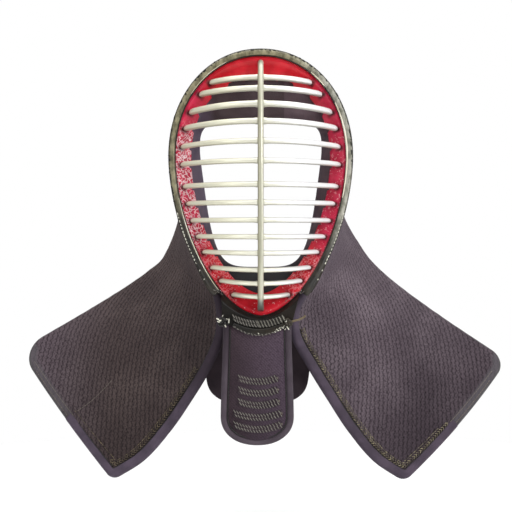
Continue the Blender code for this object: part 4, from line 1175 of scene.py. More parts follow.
def thread_tree(finish):
    """Nodes that lay one short arched thread at each place, and the identifiers of their sizes' sockets."""
    tree = bpy.data.node_groups.new("laid_threads", "GeometryNodeTree")
    identifiers = {}

    def socket(name, kind, value=None):
        made = tree.interface.new_socket(name, in_out="INPUT", socket_type=kind)
        if value is not None:
            made.default_value = value
        identifiers[name] = made.identifier

    def add(kind, inputs=None, **settings):
        return add_node(tree, kind, inputs, **settings).outputs

    def carried(name, kind):
        return add("GeometryNodeInputNamedAttribute", {"Name": name}, data_type=kind)["Attribute"]

    socket("Geometry", "NodeSocketGeometry")
    socket("Arch", "NodeSocketFloat", THREAD_ARCH)
    socket("Sway", "NodeSocketFloat", THREAD_SWAY)
    socket("Seed", "NodeSocketInt", THREAD_SEED)
    tree.interface.new_socket("Geometry", in_out="OUTPUT", socket_type="NodeSocketGeometry")
    given = add("NodeGroupInput")

    # one thread of length and thickness one, arched and thinner at its ends
    peak = add("ShaderNodeCombineXYZ", {"Z": given["Arch"]})[0]
    ends = {"Start": (-0.5, 0, 0), "Middle": peak, "End": (0.5, 0, 0)}
    line = add("GeometryNodeCurveQuadraticBezier", {"Resolution": THREAD_STEPS, **ends})
    along = add("GeometryNodeSplineParameter")
    taper = add_node(tree, "ShaderNodeFloatCurve", {"Value": along["Factor"]})
    curve = taper.mapping.curves[0]
    curve.points[0].location = (0.0, THREAD_END_SHARE)
    curve.points[1].location = (1.0, THREAD_END_SHARE)
    curve.points.new(0.25, 1.0)
    curve.points.new(0.75, 1.0)
    taper.mapping.update()
    width = taper.outputs["Value"]
    ring = add("GeometryNodeCurvePrimitiveCircle", {"Resolution": THREAD_SIDES, "Radius": 0.5})
    thick = add("GeometryNodeSetCurveRadius", {"Curve": line["Curve"], "Radius": width})
    swept = {"Curve": thick["Curve"], "Profile Curve": ring["Curve"], "Scale": width, "Fill Caps": True}
    thread = add("GeometryNodeCurveToMesh", swept)

    # each place's length and thickness, and its turn from the thread's run and its way up
    run = carried("run", "FLOAT_VECTOR")
    up = carried("up", "FLOAT_VECTOR")
    girth = carried("girth", "FLOAT")
    length = add("ShaderNodeVectorMath", {0: run}, operation="LENGTH")["Value"]
    size = add("ShaderNodeCombineXYZ", {"X": length, "Y": girth, "Z": girth})[0]
    turner = "FunctionNodeAlignRotationToVector"
    lengthwise = add(turner, {"Vector": run}, axis="X")["Rotation"]
    upright = add(turner, {"Rotation": lengthwise, "Vector": up}, axis="Z", pivot_axis="X")["Rotation"]
    least = add("ShaderNodeMath", {0: given["Sway"], 1: -1.0}, operation="MULTIPLY")[0]
    spread = {2: least, 3: given["Sway"], "Seed": given["Seed"]}
    turn = add("FunctionNodeRandomValue", spread, data_type="FLOAT")[1]
    sway = add("ShaderNodeCombineXYZ", {"Z": turn})[0]

    spots = add("GeometryNodeMeshToPoints", {"Mesh": given["Geometry"]})["Points"]
    laid = {"Points": spots, "Instance": thread["Mesh"], "Rotation": upright, "Scale": size}
    copies = add("GeometryNodeInstanceOnPoints", laid)["Instances"]
    tilted = add("GeometryNodeRotateInstances", {"Instances": copies, "Rotation": sway})["Instances"]
    real = add("GeometryNodeRealizeInstances", {"Geometry": tilted})["Geometry"]
    smooth = add("GeometryNodeSetShadeSmooth", {"Geometry": real})["Geometry"]
    painted = add("GeometryNodeSetMaterial", {"Geometry": smooth, "Material": finish.material})["Geometry"]
    add("NodeGroupOutput", {"Geometry": painted})
    return tree, identifiers


def lay_threads(name, places, finish, slot, arch=THREAD_ARCH, sway=THREAD_SWAY):
    """One piece made of all the threads laid at these places."""
    mesh = bpy.data.meshes.new(name + "_places")
    middles, runs, ups, girths = zip(*places.rows)
    mesh.from_pydata([tuple(middle) for middle in middles], [], [])
    for label, values in (("run", runs), ("up", ups), ("girth", girths)):
        mark_points(mesh, label, values)
    source = in_scene(name + "_places", mesh)
    tree, sockets = thread_tree(finish)
    modifier = source.modifiers.new("laid_threads", "NODES")
    modifier.node_group = tree
    modifier[sockets["Arch"]] = arch
    modifier[sockets["Sway"]] = sway
    modifier[sockets["Seed"]] = THREAD_SEED
    depsgraph = bpy.context.evaluated_depsgraph_get()
    plain = bpy.data.meshes.new_from_object(source.evaluated_get(depsgraph), depsgraph=depsgraph)
    plain.name = name
    bpy.data.objects.remove(source)
    return settle(in_scene(name, plain), slot)


ROW_LEAN = 0.10
ROW_LEAN_SPAN = 0.4


def thread_direction(station):
    """The way the quilting's rows run: up one side, over the crown and down the other."""
    turn = np.clip(RIM_END * station, -math.pi / 2, math.pi / 2)
    lean = ROW_LEAN * np.clip((station - RIM_END_STATION) / ROW_LEAN_SPAN, 0, 1)
    return np.stack([np.cos(turn) - lean, np.zeros_like(turn), -np.sin(turn)], -1)


def quilting_map(rows=161, columns=15):
    """Distance across and along the quilting's rows at a grid of places, evened out over the cloth."""
    station, share = np.meshgrid(
        np.linspace(-FLAP_END, FLAP_END, rows), np.linspace(0, 1, columns), indexing="ij"
    )
    points = CLOTH.at(station, share)
    normal = CLOTH.normal(station, share)
    along = thread_direction(station)
    along = unit(along - normal * (along * normal).sum(-1, keepdims=True))
    across = np.cross(normal, along)
    number = np.arange(rows * columns).reshape(rows, columns)
    pairs = [(number[:-1], number[1:]), (number[:, :-1], number[:, 1:])]
    low = np.concatenate([first.ravel() for first, _ in pairs])
    high = np.concatenate([second.ravel() for _, second in pairs])
    flat = points.reshape(-1, 3)
    step = flat[high] - flat[low]
    weight = 1 / np.maximum((step * step).sum(-1), 1e-8)
    matrix = np.zeros((rows * columns, rows * columns))
    np.add.at(matrix, (low, low), weight)
    np.add.at(matrix, (high, high), weight)
    np.add.at(matrix, (low, high), -weight)
    np.add.at(matrix, (high, low), -weight)
    matrix[0, 0] += weight.mean()
    fields = []
    for way in (across, along):
        vectors = way.reshape(-1, 3)
        moved = ((vectors[low] + vectors[high]) / 2 * step).sum(-1) * weight
        pull = np.zeros(rows * columns)
        np.add.at(pull, high, moved)
        np.add.at(pull, low, -moved)
        fields.append(pull)
    return np.linalg.solve(matrix, np.stack(fields, -1)).reshape(rows, columns, 2)


def read_map(grid, station, share):
    """The quilting's coordinates at any places, read between the nearest places of the grid."""
    rows, columns = grid.shape[:2]
    row = (station / FLAP_END + 1) / 2 * (rows - 1)
    column = share * (columns - 1)
    i = np.clip(np.floor(row).astype(int), 0, rows - 2)
    j = np.clip(np.floor(column).astype(int), 0, columns - 2)
    u = (row - i)[..., None]
    v = (column - j)[..., None]
    near = grid[i, j] * (1 - v) + grid[i, j + 1] * v
    far = grid[i + 1, j] * (1 - v) + grid[i + 1, j + 1] * v
    return near * (1 - u) + far * u


EDGE_STEPS = np.array([0.0, 0.0003, 0.0010, 0.0021, 0.0036])
EVEN_FROM = 0.006
CLOTH_COLUMNS = 64
CLOTH_LENGTHS = 420
EDGE_SPACING = 0.0005
END_SPACING = 0.001
HEM_REACH = 0.0118
HEM_FADE = 0.0025
PRESSED_SHARE = 0.2
PRESS_FADE = 0.004
SWELL_HEIGHT = 0.0003
SWELL_FADE = 0.02
BINDING_REACH = 0.0108
BINDING_LIFT = 0.0012
EDGE_TAPE_REACH = 0.0026
EDGE_TAPE_LIFT = 0.0007
HOOD_FRONT = [(-RIM_END_STATION, 0.0), (RIM_END_STATION, 0.0)]
BARE_ENDS = [[(FLAP_END * sign, BINDING_STEP_SHARE), (FLAP_END * sign, 1.0)] for sign in (1, -1)]
BOUND_CORNERS = {
    sign: [(RIM_END_STATION * sign, 0.0), (FLAP_END * sign, 0.0), (FLAP_END * sign, BINDING_STEP_SHARE)]
    for sign in (-1, 1)
}
FREE_CORNERS = [
    (-FLAP_END, BINDING_STEP_SHARE),
    (-FLAP_END, 1.0),
    (FLAP_END, 1.0),
    (FLAP_END, BINDING_STEP_SHARE),
]


def distances_to(points, targets):
    """How far each point is from the nearest of some targets."""
    tree = KDTree(len(targets))
    for i, target in enumerate(targets):
        tree.insert(target, i)
    tree.balance()
    return np.array([tree.find(point)[2] for point in points])


def distances_to_edges(grid, edges, spacing=EDGE_SPACING):
    """How far each point of a grid is from the cloth's edges through these lists of corners."""
    targets = np.concatenate([CLOTH.at(*edge_path(corners, spacing)) for corners in edges])
    return distances_to(grid.reshape(-1, 3), targets).reshape(grid.shape[:-1])


def hem_share(distance):
    """How thick a round hem is at a distance from its edge, as a share of the cloth's full thickness."""
    inward = np.clip(distance / (HOOD_THICKNESS / 2), 0, 1)
    return np.sqrt(np.maximum(1 - (1 - inward) ** 2, 0))


def bound_thinness(distance):
    """How far the binding's stitches press the cloth together."""
    return 1 - PRESSED_SHARE * (1 - np.clip((distance - BINDING_WIDTH) / PRESS_FADE, 0, 1))


def cloth_places():
    """A grid of places over the whole cloth, close together at its edges and rounded at the flaps' tips."""
    per_metre = 1 / CLOTH.pace(FLAP_END, 0.5)
    near_end = EDGE_STEPS * per_metre
    inside = FLAP_END - EVEN_FROM * per_metre
    even_stations = np.linspace(-inside, inside, CLOTH_LENGTHS)
    stations = np.concatenate([-FLAP_END + near_end, even_stations, FLAP_END - near_end[::-1]])
    width = CLOTH.width(stations)
    near = EDGE_STEPS[None, :] / width[:, None]
    even = np.linspace(0, 1, CLOTH_COLUMNS)[None, :]
    start = (EVEN_FROM / width)[:, None]
    shares = np.concatenate([near, start + (1 - 2 * start) * even, 1 - near[:, ::-1]], axis=1)
    return round_tips(np.broadcast_to(stations[:, None], shares.shape), shares)


def both_sides(outer, inner):
    """The values of a whole grid and, after them, those of a second one without its border."""
    inside = inner[1:-1, 1:-1]
    return np.concatenate([outer.reshape(-1, *outer.shape[2:]), inside.reshape(-1, *inside.shape[2:])])


def pillow(outer, inner):
    """Points and faces of a body between two grids of points that meet along the first one's border."""
    rows, columns = outer.shape[:2]
    under = np.arange(rows * columns).reshape(rows, columns)
    under[1:-1, 1:-1] = rows * columns + np.arange((rows - 2) * (columns - 2)).reshape(rows - 2, -1)
    quads = grid_faces(rows, columns)
    faces = [tuple(face) for face in quads] + [tuple(face[::-1]) for face in under.ravel()[quads]]
    return both_sides(outer, inner), faces


def make_quilted_cloth():
    """The one quilted cloth that runs over the head and hangs as both side flaps."""
    station, share = cloth_places()
    middle = CLOTH.at(station, share)
    normal = CLOTH.normal(station, share)
    to_bound = distances_to_edges(middle, BOUND_CORNERS.values())
    to_front = distances_to_edges(middle, [HOOD_FRONT])
    to_free = distances_to_edges(middle, [FREE_CORNERS])
    to_edge = np.minimum(np.minimum(to_bound, to_free), to_front)
    to_edge[0, :] = to_edge[-1, :] = 0
    to_edge[:, 0] = to_edge[:, -1] = 0
    half = HOOD_THICKNESS / 2 * hem_share(to_edge) * bound_thinness(to_bound)
    place = read_map(quilting_map(), station, share)
    across, along = place[..., 0], place[..., 1]
    swell = np.sin(across * 90 + np.sin(along * 40) * 1.5) * np.sin(along * 65 + 1.0)
    swell = (swell * SWELL_HEIGHT * np.clip(to_edge / SWELL_FADE, 0, 1))[..., None]
    outer = middle + normal * (half[..., None] + swell)
    inner = middle - normal * (half[..., None] - swell)
    to_ends = distances_to_edges(middle, BARE_ENDS, END_SPACING)
    hem = np.clip((HEM_REACH - to_ends) / HEM_FADE, 0, 1)
    marks = {"hem": both_sides(hem, hem)}
    cloth = make_piece("quilted_cloth", pillow(outer, inner), QUILTED, both_sides(place, place), marks)
    settle(cloth, "quilted_cotton", "quilted_hood", "left_flap", "right_flap")


def wrapped_edge(corners, width, lift, spacing):
    """A tape folded over the cloth's edge along these corners."""
    points, inward, normal = edge_frame(*edge_path(corners, spacing))
    reach = width * np.linspace(1, 0, 10) ** 1.6
    height = HOOD_THICKNESS / 2 * (1 - PRESSED_SHARE) * hem_share(reach) + lift
    height[0] -= lift * 1.6
    reach[-1] = -lift
    height[-1] = 0.0
    across = np.concatenate([reach, reach[-2::-1]])
    tall = np.concatenate([height, -height[-2::-1]])
    order = np.arange(len(points))
    pucker = 1 + 0.05 * np.sin(order * 0.9) * np.sin(order * 0.23)
    rings = points[:, None] + inward[:, None] * across[:, None]
    return tube(rings + normal[:, None] * tall[:, None] * pucker[:, None, None])


def make_bindings():
    """The binding tape along each flap's front edge and lower corner, and the thin tape round the rest."""
    for sign, side in ((-1, "left"), (1, "right")):
        tape = wrapped_edge(BOUND_CORNERS[sign], BINDING_REACH, BINDING_LIFT, spacing=0.0022)
        piece = fit(f"{side}_binding_tape", tape, BINDING_TAPE, HEM, f"{side}_edge_binding")
    tape = wrapped_edge(FREE_CORNERS, EDGE_TAPE_REACH, EDGE_TAPE_LIFT, spacing=0.0030)
    fit("thin_edge_tape", tape, EDGE_TAPE, HEM)


def flap_seam(sign, front_inset, end_inset, start_station, end_share):
    """A line on a flap beside its front edge, turning up beside its end."""
    last = FLAP_END - end_inset / CLOTH.pace(FLAP_END * sign, 0.3)
    turns = np.linspace(start_station, last, 400) * sign
    down = front_inset / CLOTH.width(turns)
    up = np.linspace(down[-1], end_share, 120)
    return np.concatenate([turns, np.full(120, last * sign)]), np.concatenate([down, up])


CHAIN_PITCH = 0.0036
CHAIN_TIP_REACH = 0.85
CHAIN_HALF_WIDTH = 0.0020
CHAIN_INSET = 0.0130
BESIDE_CHAIN_INSET = 0.0164
BESIDE_CHAIN_END_INSET = 0.0168
BINDING_SEAM_INSET = 0.0098
BINDING_SEAM_START = 1.1
GROOVE_SHADE_HALF_WIDTH = 0.0030
# A strip's outline: across in half widths, and up in its own thickness
STRIP_OUTLINE = ((-1, -1.2), (-0.8, 0), (0, 0.25), (0.8, 0), (1, -1.2), (0, -2.0))
STRIP_THICKNESS = 0.0005


@dataclass
class ChainSeam:
    """The chain stitches on one flap: the station where they start, the shares of the cloth's width where
    they and the fine seam beside them end, and their thread."""

    side: str
    sign: int
    start: float
    end_share: float
    beside_end_share: float
    thread: Finish


CHAIN_SEAMS = (
    ChainSeam("left", -1, start=1.63, end_share=0.09, beside_end_share=0.46, thread=LEFT_SHADED_THREAD),
    ChainSeam("right", 1, start=1.36, end_share=0.42, beside_end_share=0.36, thread=OLIVE_THREAD),
)
# Fine seams across each flap's end: how far inside it, and the share of the width where they stop
END_SEAMS = ((0.0098, 0.86), (0.0042, 0.80))
# The one fine seam along the left flap
LONG_SEAM_SHARE = 0.46
LONG_SEAM_STATIONS = (2.00, 2.265)


def chain_stitch(places, line, half_width, girth, lift):
    """Nested V stitches along a line on the cloth's outer face."""
    station, share = even_places(*line, CHAIN_PITCH)
    normal = CLOTH.normal(station, share)
    points = CLOTH.at(station, share) + normal * lift
    run = unit(np.gradient(points, axis=0))
    side = np.cross(normal, run)
    for point, ahead, beside, up in zip(points, run, side, normal):
        tip = point + ahead * CHAIN_PITCH * CHAIN_TIP_REACH
        for turn in (-1, 1):
            places.lay(point + beside * half_width * turn, tip, up, girth)


def strip_on_cloth(line, half_width, lift):
    """A thin strip that lies along a line on the cloth's outer face."""
    station, share = even_places(*line, 0.003)
    normal = CLOTH.normal(station, share)
    points = CLOTH.at(station, share)
    side = unit(np.cross(normal, unit(np.gradient(points, axis=0))))
    rings = []
    for across, rise in STRIP_OUTLINE:
        rings.append(points + side * half_width * across + normal * (lift + rise * STRIP_THICKNESS))
    return tube(np.stack(rings, axis=1))


def end_seam(sign, inset, start_share, end_share):
    """A line across a flap, this far inside its end."""
    station = (FLAP_END - inset / CLOTH.pace(FLAP_END * sign, 0.5)) * sign
    return np.full(300, station), np.linspace(start_share, end_share, 300)


def make_flap_stitching():
    """The chain stitches beside each flap's binding, with a dark strip of painted shade under each chain,
    and the fine seams on the cloth beside them.
    """
    binding_seams = Places()
    fine_seams = Places()
    grounds = []
    face = HOOD_THICKNESS / 2
    for seam in CHAIN_SEAMS:
        chain = Places()
        line = flap_seam(seam.sign, CHAIN_INSET, CHAIN_INSET, seam.start, seam.end_share)
        chain_stitch(chain, line, CHAIN_HALF_WIDTH, girth=0.0009, lift=face + 0.0003)
        # painted shade: a dark strip under the chain stitches
        grounds.append(strip_on_cloth(line, GROOVE_SHADE_HALF_WIDTH, lift=face - 0.0003))
        line = flap_seam(
            seam.sign, BESIDE_CHAIN_INSET, BESIDE_CHAIN_END_INSET, seam.start, seam.beside_end_share
        )
        chain_stitch(chain, line, half_width=0.0003, girth=0.0005, lift=face + 0.0002)
        lay_threads(f"{seam.side}_chain_stitches", chain, seam.thread, HEM, arch=0.2)
        line = flap_seam(
            seam.sign, BINDING_SEAM_INSET, BINDING_SEAM_INSET, BINDING_SEAM_START, BINDING_STEP_SHARE - 0.02
        )
        chain_stitch(binding_seams, line, half_width=0.0005, girth=0.0006, lift=face - 0.0004)
        for inset, end_share in END_SEAMS:
            line = end_seam(seam.sign, inset, BINDING_STEP_SHARE - 0.01, end_share)
            chain_stitch(fine_seams, line, half_width=0.0002, girth=0.0005, lift=face)
    line = (np.linspace(*LONG_SEAM_STATIONS, 300) * LEFT.sign, np.full(300, LONG_SEAM_SHARE))
    chain_stitch(fine_seams, line, half_width=0.0002, girth=0.0005, lift=face + 0.0001)
    lay_threads("binding_seam_stitches", binding_seams, DARK_THREAD, HEM)
    lay_threads("end_seam_stitches", fine_seams, SEAM_THREAD, HEM, arch=0.2)
    fit("chain_stitch_groove_shade", joined(grounds), CHAIN_GROOVE_SHADE, HEM)


RIM_STEPS = 240
RIM_SIDES = 28
RIM_SQUARENESS = 2.4
RIM_END_SWELLS = (0.72, 0.9, 0.98)
PAINTED_HIGHLIGHT_TURN = math.radians(128)
# Painted highlights on the bead's inner edge, as pale cords: where each starts and ends in degrees from the
# top, and its radius
PAINTED_HIGHLIGHT_EDGES = ((-149, -108, 0.0006), (-52, -22, 0.0005), (34, 46, 0.0009), (58, 108, 0.0012))
# The bead's welts: the turn round its skin, and the radius
RIM_WELTS = ((math.radians(142), 0.0008), (math.radians(24), 0.0006))


def bead_point(angle, turn, swell=1.0):
    """A point of the rim bead's skin; turn 0 faces away from the opening and a quarter turn to the front."""
    across = math.copysign(abs(math.cos(turn)) ** (2 / RIM_SQUARENESS), math.cos(turn))
    ahead = math.copysign(abs(math.sin(turn)) ** (2 / RIM_SQUARENESS), math.sin(turn))
    half = rim_width(angle) / 2
    middle = OPENING.point(angle) + out_of_opening(angle) * half
    return middle + out_of_opening(angle) * across * half * swell - BACKWARDS * ahead * RIM_DEPTH / 2 * swell


def make_rim():
    """The lacquered bead, with pale cords as painted highlights along its inner edge, and the welts where
    its leather is folded under.
    """
    angles = np.linspace(-RIM_END, RIM_END, RIM_STEPS + 1)
    turns = even_turns(RIM_SIDES)
    swells = np.ones(len(angles))
    swells[: len(RIM_END_SWELLS)] = RIM_END_SWELLS
    swells[-len(RIM_END_SWELLS) :] = RIM_END_SWELLS[::-1]
    rings = [[bead_point(angle, turn, swell) for turn in turns] for angle, swell in zip(angles, swells)]
    marks = {"outward": np.tile(np.cos(turns), len(angles))}
    fit("rim_bead", tube(rings), RIM_LEATHER, LEATHER, "rim", marks=marks)
    edges = []
    for start, end, radius in PAINTED_HIGHLIGHT_EDGES:
        path = [bead_point(math.radians(degrees), PAINTED_HIGHLIGHT_TURN) for degrees in np.linspace(start, end, 80)]
        taper = np.sin(np.linspace(0.12, math.pi - 0.12, 80)) ** 0.4
        edges.append(cord(path, radius * taper))
    fit("rim_painted_highlights", joined(edges), PAINTED_EDGE_HIGHLIGHT, LEATHER)
    welts = []
    for turn, radius in RIM_WELTS:
        welts.append(cord([bead_point(angle, turn) for angle in angles[2:-2]], radius))
    fit("rim_welts", joined(welts), LACE_LEATHER, LEATHER)


def path_angles(start, end, pitch):
    """Angles at even distances along the opening's edge."""
    angles = np.linspace(start, end, 900)
    points = np.array([OPENING.point(angle) for angle in angles])
    return np.interp(resample(points, pitch), np.arange(len(angles)), angles)


RIM_STITCH_SEED = 11
EDGE_STITCH_PITCH = 0.0046
LOW_STITCH_PITCH = 0.0042
MISSING_STITCHES = 0.22


def make_rim_lacing():
    """Dark stitches over the bead's outer edge, and pale ones low on it beside the chin's corners, pale as
    painted highlights.
    """
    dark = Places()
    chance = np.random.default_rng(RIM_STITCH_SEED)
    for angle in path_angles(-math.radians(112), math.radians(96), EDGE_STITCH_PITCH):
        if chance.random() < MISSING_STITCHES:
            continue
        length = chance.uniform(0.004, 0.022)
        turn = math.radians(chance.uniform(36, 62))
        start = bead_point(angle - length, turn)
        end = bead_point(angle + length, turn)
        dark.lay(start, end, out_of_opening(angle) - BACKWARDS * 0.8, chance.uniform(0.0009, 0.0020))
    lay_threads("rim_edge_lacing", dark, DARK_THREAD, LEATHER, arch=0.3, sway=0.1)
    # pale stitches: lacing painted pale as highlights, with two short painted glints near each end
    pale = Places()
    low_turn = math.radians(52)
    for sign in (-1, 1):
        for angle in path_angles(math.radians(114) * sign, math.radians(134) * sign, LOW_STITCH_PITCH):
            reach = sign * chance.uniform(0.005, 0.010)
            start = bead_point(angle - reach, low_turn)
            end = bead_point(angle + reach, low_turn)
            pale.lay(start, end, out_of_opening(angle) - BACKWARDS * 0.6, chance.uniform(0.0009, 0.0015))
        for degrees in (137.5, 141.5):
            spot = bead_point(math.radians(degrees) * sign, math.radians(48))
            pale.lay(spot, spot + Vector((0.0008, -0.0006, 0.0014)), -BACKWARDS, 0.0013)
    lay_threads("rim_lower_stitches", pale, PALE_THREAD, LEATHER, arch=0.2, sway=0.03)


BAND_STEPS = 960
NOTCH_FADE = 0.0012
# The band's outline: shares of its width, and how far up or down from its front face in mm
BAND_FACE = ((0, 0), (0.2, 0.05), (0.45, 0.12), (0.7, 0.14), (0.86, 0.12), (0.95, 0.05))
BAND_LIP = ((0.985, 0.35), (1.0, 1.1), (1.0, 2.0), (0.985, 2.7))
BAND_BACK = (0.7, 0.35, 0.0)
SEAT_SHADOW = 0.0030
SEAT_SHADOW_FADE = 0.0022


def notch_cut(angle):
    """How far the band's inner edge is cut back behind a bar's end."""
    z = BAND_EDGE.point(angle).z
    cut = 0.0
    for row in CROSS_BARS:
        from_middle = abs(z - (bar_level(row) - NOTCH_DROP))
        fade = smooth_step((from_middle - NOTCH_HALF_HEIGHT * 0.75) / NOTCH_FADE)
        cut = max(cut, NOTCH_DEPTH * (1 - fade))
    return cut


def make_band():
    """The red lacquered band, with rounded tabs between the notches for the bars, marked with painted shadow
    below their ends.
    """
    rings = []
    for angle in np.linspace(0, 2 * math.pi, BAND_STEPS, endpoint=False):
        across = band_front(angle, 1) - band_front(angle, 0)
        along = band_front(angle + 0.01, 0.5) - band_front(angle - 0.01, 0.5)
        ahead = along.cross(across).normalized()
        if ahead.y > 0:
            ahead = -ahead
        last = 1 - notch_cut(angle) / across.length
        ring = [band_front(angle, share * last) + ahead * rise * MM for share, rise in BAND_FACE]
        ring += [band_front(angle, share * last) - ahead * sink * MM for share, sink in BAND_LIP]
        ring += [band_front(angle, share * last) - ahead * LINING_THICKNESS for share in BAND_BACK]
        rings.append(ring)
    points, faces = tube(rings, closed=True)
    seats = []
    for row in CROSS_BARS:
        seat = seat_of(row)
        seats += [(seat.x + 0.001, seat.y, seat.z - 0.0012), (-seat.x - 0.001, seat.y, seat.z - 0.0012)]
    # painted shadow: a dark mark just below each bar's end
    dark = 1 - np.clip((distances_to(points, seats) - SEAT_SHADOW) / SEAT_SHADOW_FADE, 0, 1)
    fit("red_band", (points, faces), RED_LACQUER, "red_lacquer", "rim_lining", marks={"seat": dark})


BAR_STEPS = 56
BAR_SIDES = 16
BAR_SQUARENESS = 2.3
BAR_TIP_DROP = 0.0008
BAR_TIP_START = 0.93
BAR_END_SIZES = (0.55, 0.86, 0.97, 1.0)
COLLAR_SWELL = 0.22
COLLAR_REACH = 0.0016
UPRIGHT_STEPS = 120
UPRIGHT_SIDES = 20
UPRIGHT_END_SIZES = (0.6, 0.88, 0.97, 1.0)
GROOVE_DEPTH = 0.16
GROOVES = 8


def squircle(sides, power):
    """Even turns of a slightly squared circle of radius one."""
    turns = even_turns(sides)
    across = np.sign(np.cos(turns)) * np.abs(np.cos(turns)) ** (2 / power)
    ahead = np.sign(np.sin(turns)) * np.abs(np.sin(turns)) ** (2 / power)
    return across, ahead


def rounded_ends(steps, sizes):
    """A bar's size at each step along it, taking these sizes at either end."""
    order = np.arange(steps + 1)
    return np.interp(np.minimum(order, steps - order), np.arange(len(sizes)), sizes)


def cross_bar(row):
    """One bar, bowed from seat to seat, with rounded ends and a collar of solder at the upright."""
    level = bar_level(row)
    seat = seat_of(row)
    middle_z = level + row.rise * (OPENING.rise + OPENING.fall)
    middle_y = upright_y(middle_z) + UPRIGHT_STANDS_FORWARD
    even = np.linspace(-1, 1, BAR_STEPS + 1)
    across = mix(even, np.sin(math.pi / 2 * even), 0.5)
    bow = 1 - np.abs(across) ** CROSS_BAR_BOW_POWER
    path = np.stack([seat.x * across, mix(seat.y, middle_y, bow), mix(seat.z, middle_z, bow)], -1)
    path[:, 2] -= BAR_TIP_DROP * np.clip((np.abs(across) - BAR_TIP_START) / (1 - BAR_TIP_START), 0, 1) ** 2
    run = unit(np.gradient(path, axis=0))
    square = unit(np.array([0, middle_z - level, seat.y - middle_y]))
    ahead = unit(np.cross(run, square))
    wide, tall = squircle(BAR_SIDES, BAR_SQUARENESS)
    from_collar = (np.abs(path[:, 0]) - UPRIGHT_HALF_WIDTH) / COLLAR_REACH
    size = rounded_ends(BAR_STEPS, BAR_END_SIZES) * (1 + COLLAR_SWELL * np.exp(-(from_collar**2)))
    half_tall = CROSS_BAR_HALF_HEIGHT * row.thickness
    out = ahead[:, None] * wide[:, None] * CROSS_BAR_HALF_DEPTH
    up = square * tall[:, None] * half_tall
    return tube(path[:, None] + size[:, None, None] * (out + up))


def upright_bar():
    """The bar that runs down the middle, with a grooved foot on the band at the chin."""
    top = bar_seat(0.0)
    foot = bar_seat(math.pi)
    middle = (top.z + foot.z) / 2
    half = (top.z - foot.z) / 2
    along = np.cos(np.linspace(0, math.pi, UPRIGHT_STEPS + 1))
    z = middle + half * np.sign(along) * np.abs(along) ** (2 / UPRIGHT_SQUARENESS)
    path = np.stack([0 * z, [upright_y(level) for level in z], z], -1)
    ahead = np.cross(TO_THE_RIGHT, unit(np.gradient(path, axis=0)))
    share = np.linspace(0, 1, UPRIGHT_STEPS + 1)
    flare = np.array([smooth_step((part - UPRIGHT_FLARE_START) / UPRIGHT_FLARE_LENGTH) for part in share])
    half_width = (UPRIGHT_HALF_WIDTH * (1 + UPRIGHT_FOOT_FLARE * flare))[:, None, None]
    wide, tall = squircle(UPRIGHT_SIDES, BAR_SQUARENESS)
    groove = 1 - GROOVE_DEPTH * flare[:, None] * np.cos(even_turns(UPRIGHT_SIDES) * GROOVES)[None, :] ** 2
    size = rounded_ends(UPRIGHT_STEPS, UPRIGHT_END_SIZES)[:, None] * groove
    across = TO_THE_RIGHT * wide[:, None] * half_width
    out = ahead[:, None] * tall[:, None] * UPRIGHT_HALF_DEPTH
    return tube(path[:, None] + size[..., None] * (across + out))


def make_grille():
    """The soldered bars, each cross bar marked along its underside for painted shade."""
    upright = upright_bar()
    bars = [cross_bar(row) for row in CROSS_BARS]
    tall = squircle(BAR_SIDES, BAR_SQUARENESS)[1]
    below = np.tile(np.clip(-tall, 0, 1), (BAR_STEPS + 1) * len(bars))
    marks = {"underside": np.concatenate([np.zeros(len(upright[0])), below])}
    fit("grille_bars", joined([upright] + bars), IVORY_METAL, "ivory_metal", "grille", marks=marks)


PAD_STEPS = 240
CORNER_PULL = 1 / 16


def make_face_pad():
    """The padded ring round the face, soft at its lip and drawn in along its seams."""
    seat = BACKWARDS * (LINING_THICKNESS + CLEARANCE * PAD_GAPS_BEHIND_BAND)
    half_lip = PAD_LIP_DEPTH / 2
    rings = []
    for angle in np.linspace(0, 2 * math.pi, PAD_STEPS, endpoint=False):
        out = out_of_opening(angle)
        edge = OPENING.point(angle)
        lip = PAD_EDGE.point(angle)
        lip_round = out * half_lip * PAD_LIP_ROUNDING
        corners = [
            band_front(angle, PAD_SEAT_SHARE) + seat,
            band_front(angle, 1.0) + seat,
            lip + lip_round - BACKWARDS * half_lip,
            lip,
            lip + lip_round + BACKWARDS * half_lip,
            edge - out * PAD_OUTER_INSET * 2 + BACKWARDS * PAD_BACK_RECESS,
            edge - out * PAD_OUTER_INSET + BACKWARDS * PAD_RECESS,
        ]
        ring = []
        for i, corner in enumerate(corners):
            after = corners[(i + 1) % len(corners)]
            before = corners[i - 1]
            later = corners[(i + 2) % len(corners)]
            pull = (corner + after - before - later) * CORNER_PULL * FULL_BOW
            for share in (0.0, 0.25, 0.5, 0.75):
                ring.append(corner.lerp(after, share) + pull * share * (1 - share))
        rings.append(ring)
    pad = make_piece("face_pad_cloth", tube(rings, closed=True), NAVY_COTTON)
    rounding = pad.modifiers.new("rounding", "SUBSURF")
    rounding.levels = rounding.render_levels = 1
    settle(pad, "navy_cotton", "face_pad")


def slab(pairs):
    """Points and faces of a plate from rows of pairs, each a front point and the back point behind it."""
    pairs = np.asarray(pairs, float)
    rows, columns = pairs.shape[:2]
    size = rows * columns
    quads = grid_faces(rows, columns)
    faces = [tuple(face) for face in quads] + [tuple(face[::-1]) for face in quads + size]
    number = np.arange(size).reshape(rows, columns)
    border = np.concatenate([number[0, :], number[1:, -1], number[-1, -2::-1], number[-2:0:-1, 0]])
    for first, second in zip(border, np.roll(border, -1)):
        faces.append((first, second, second + size, first + size))
    return np.concatenate([pairs[:, :, 0].reshape(-1, 3), pairs[:, :, 1].reshape(-1, 3)]), faces


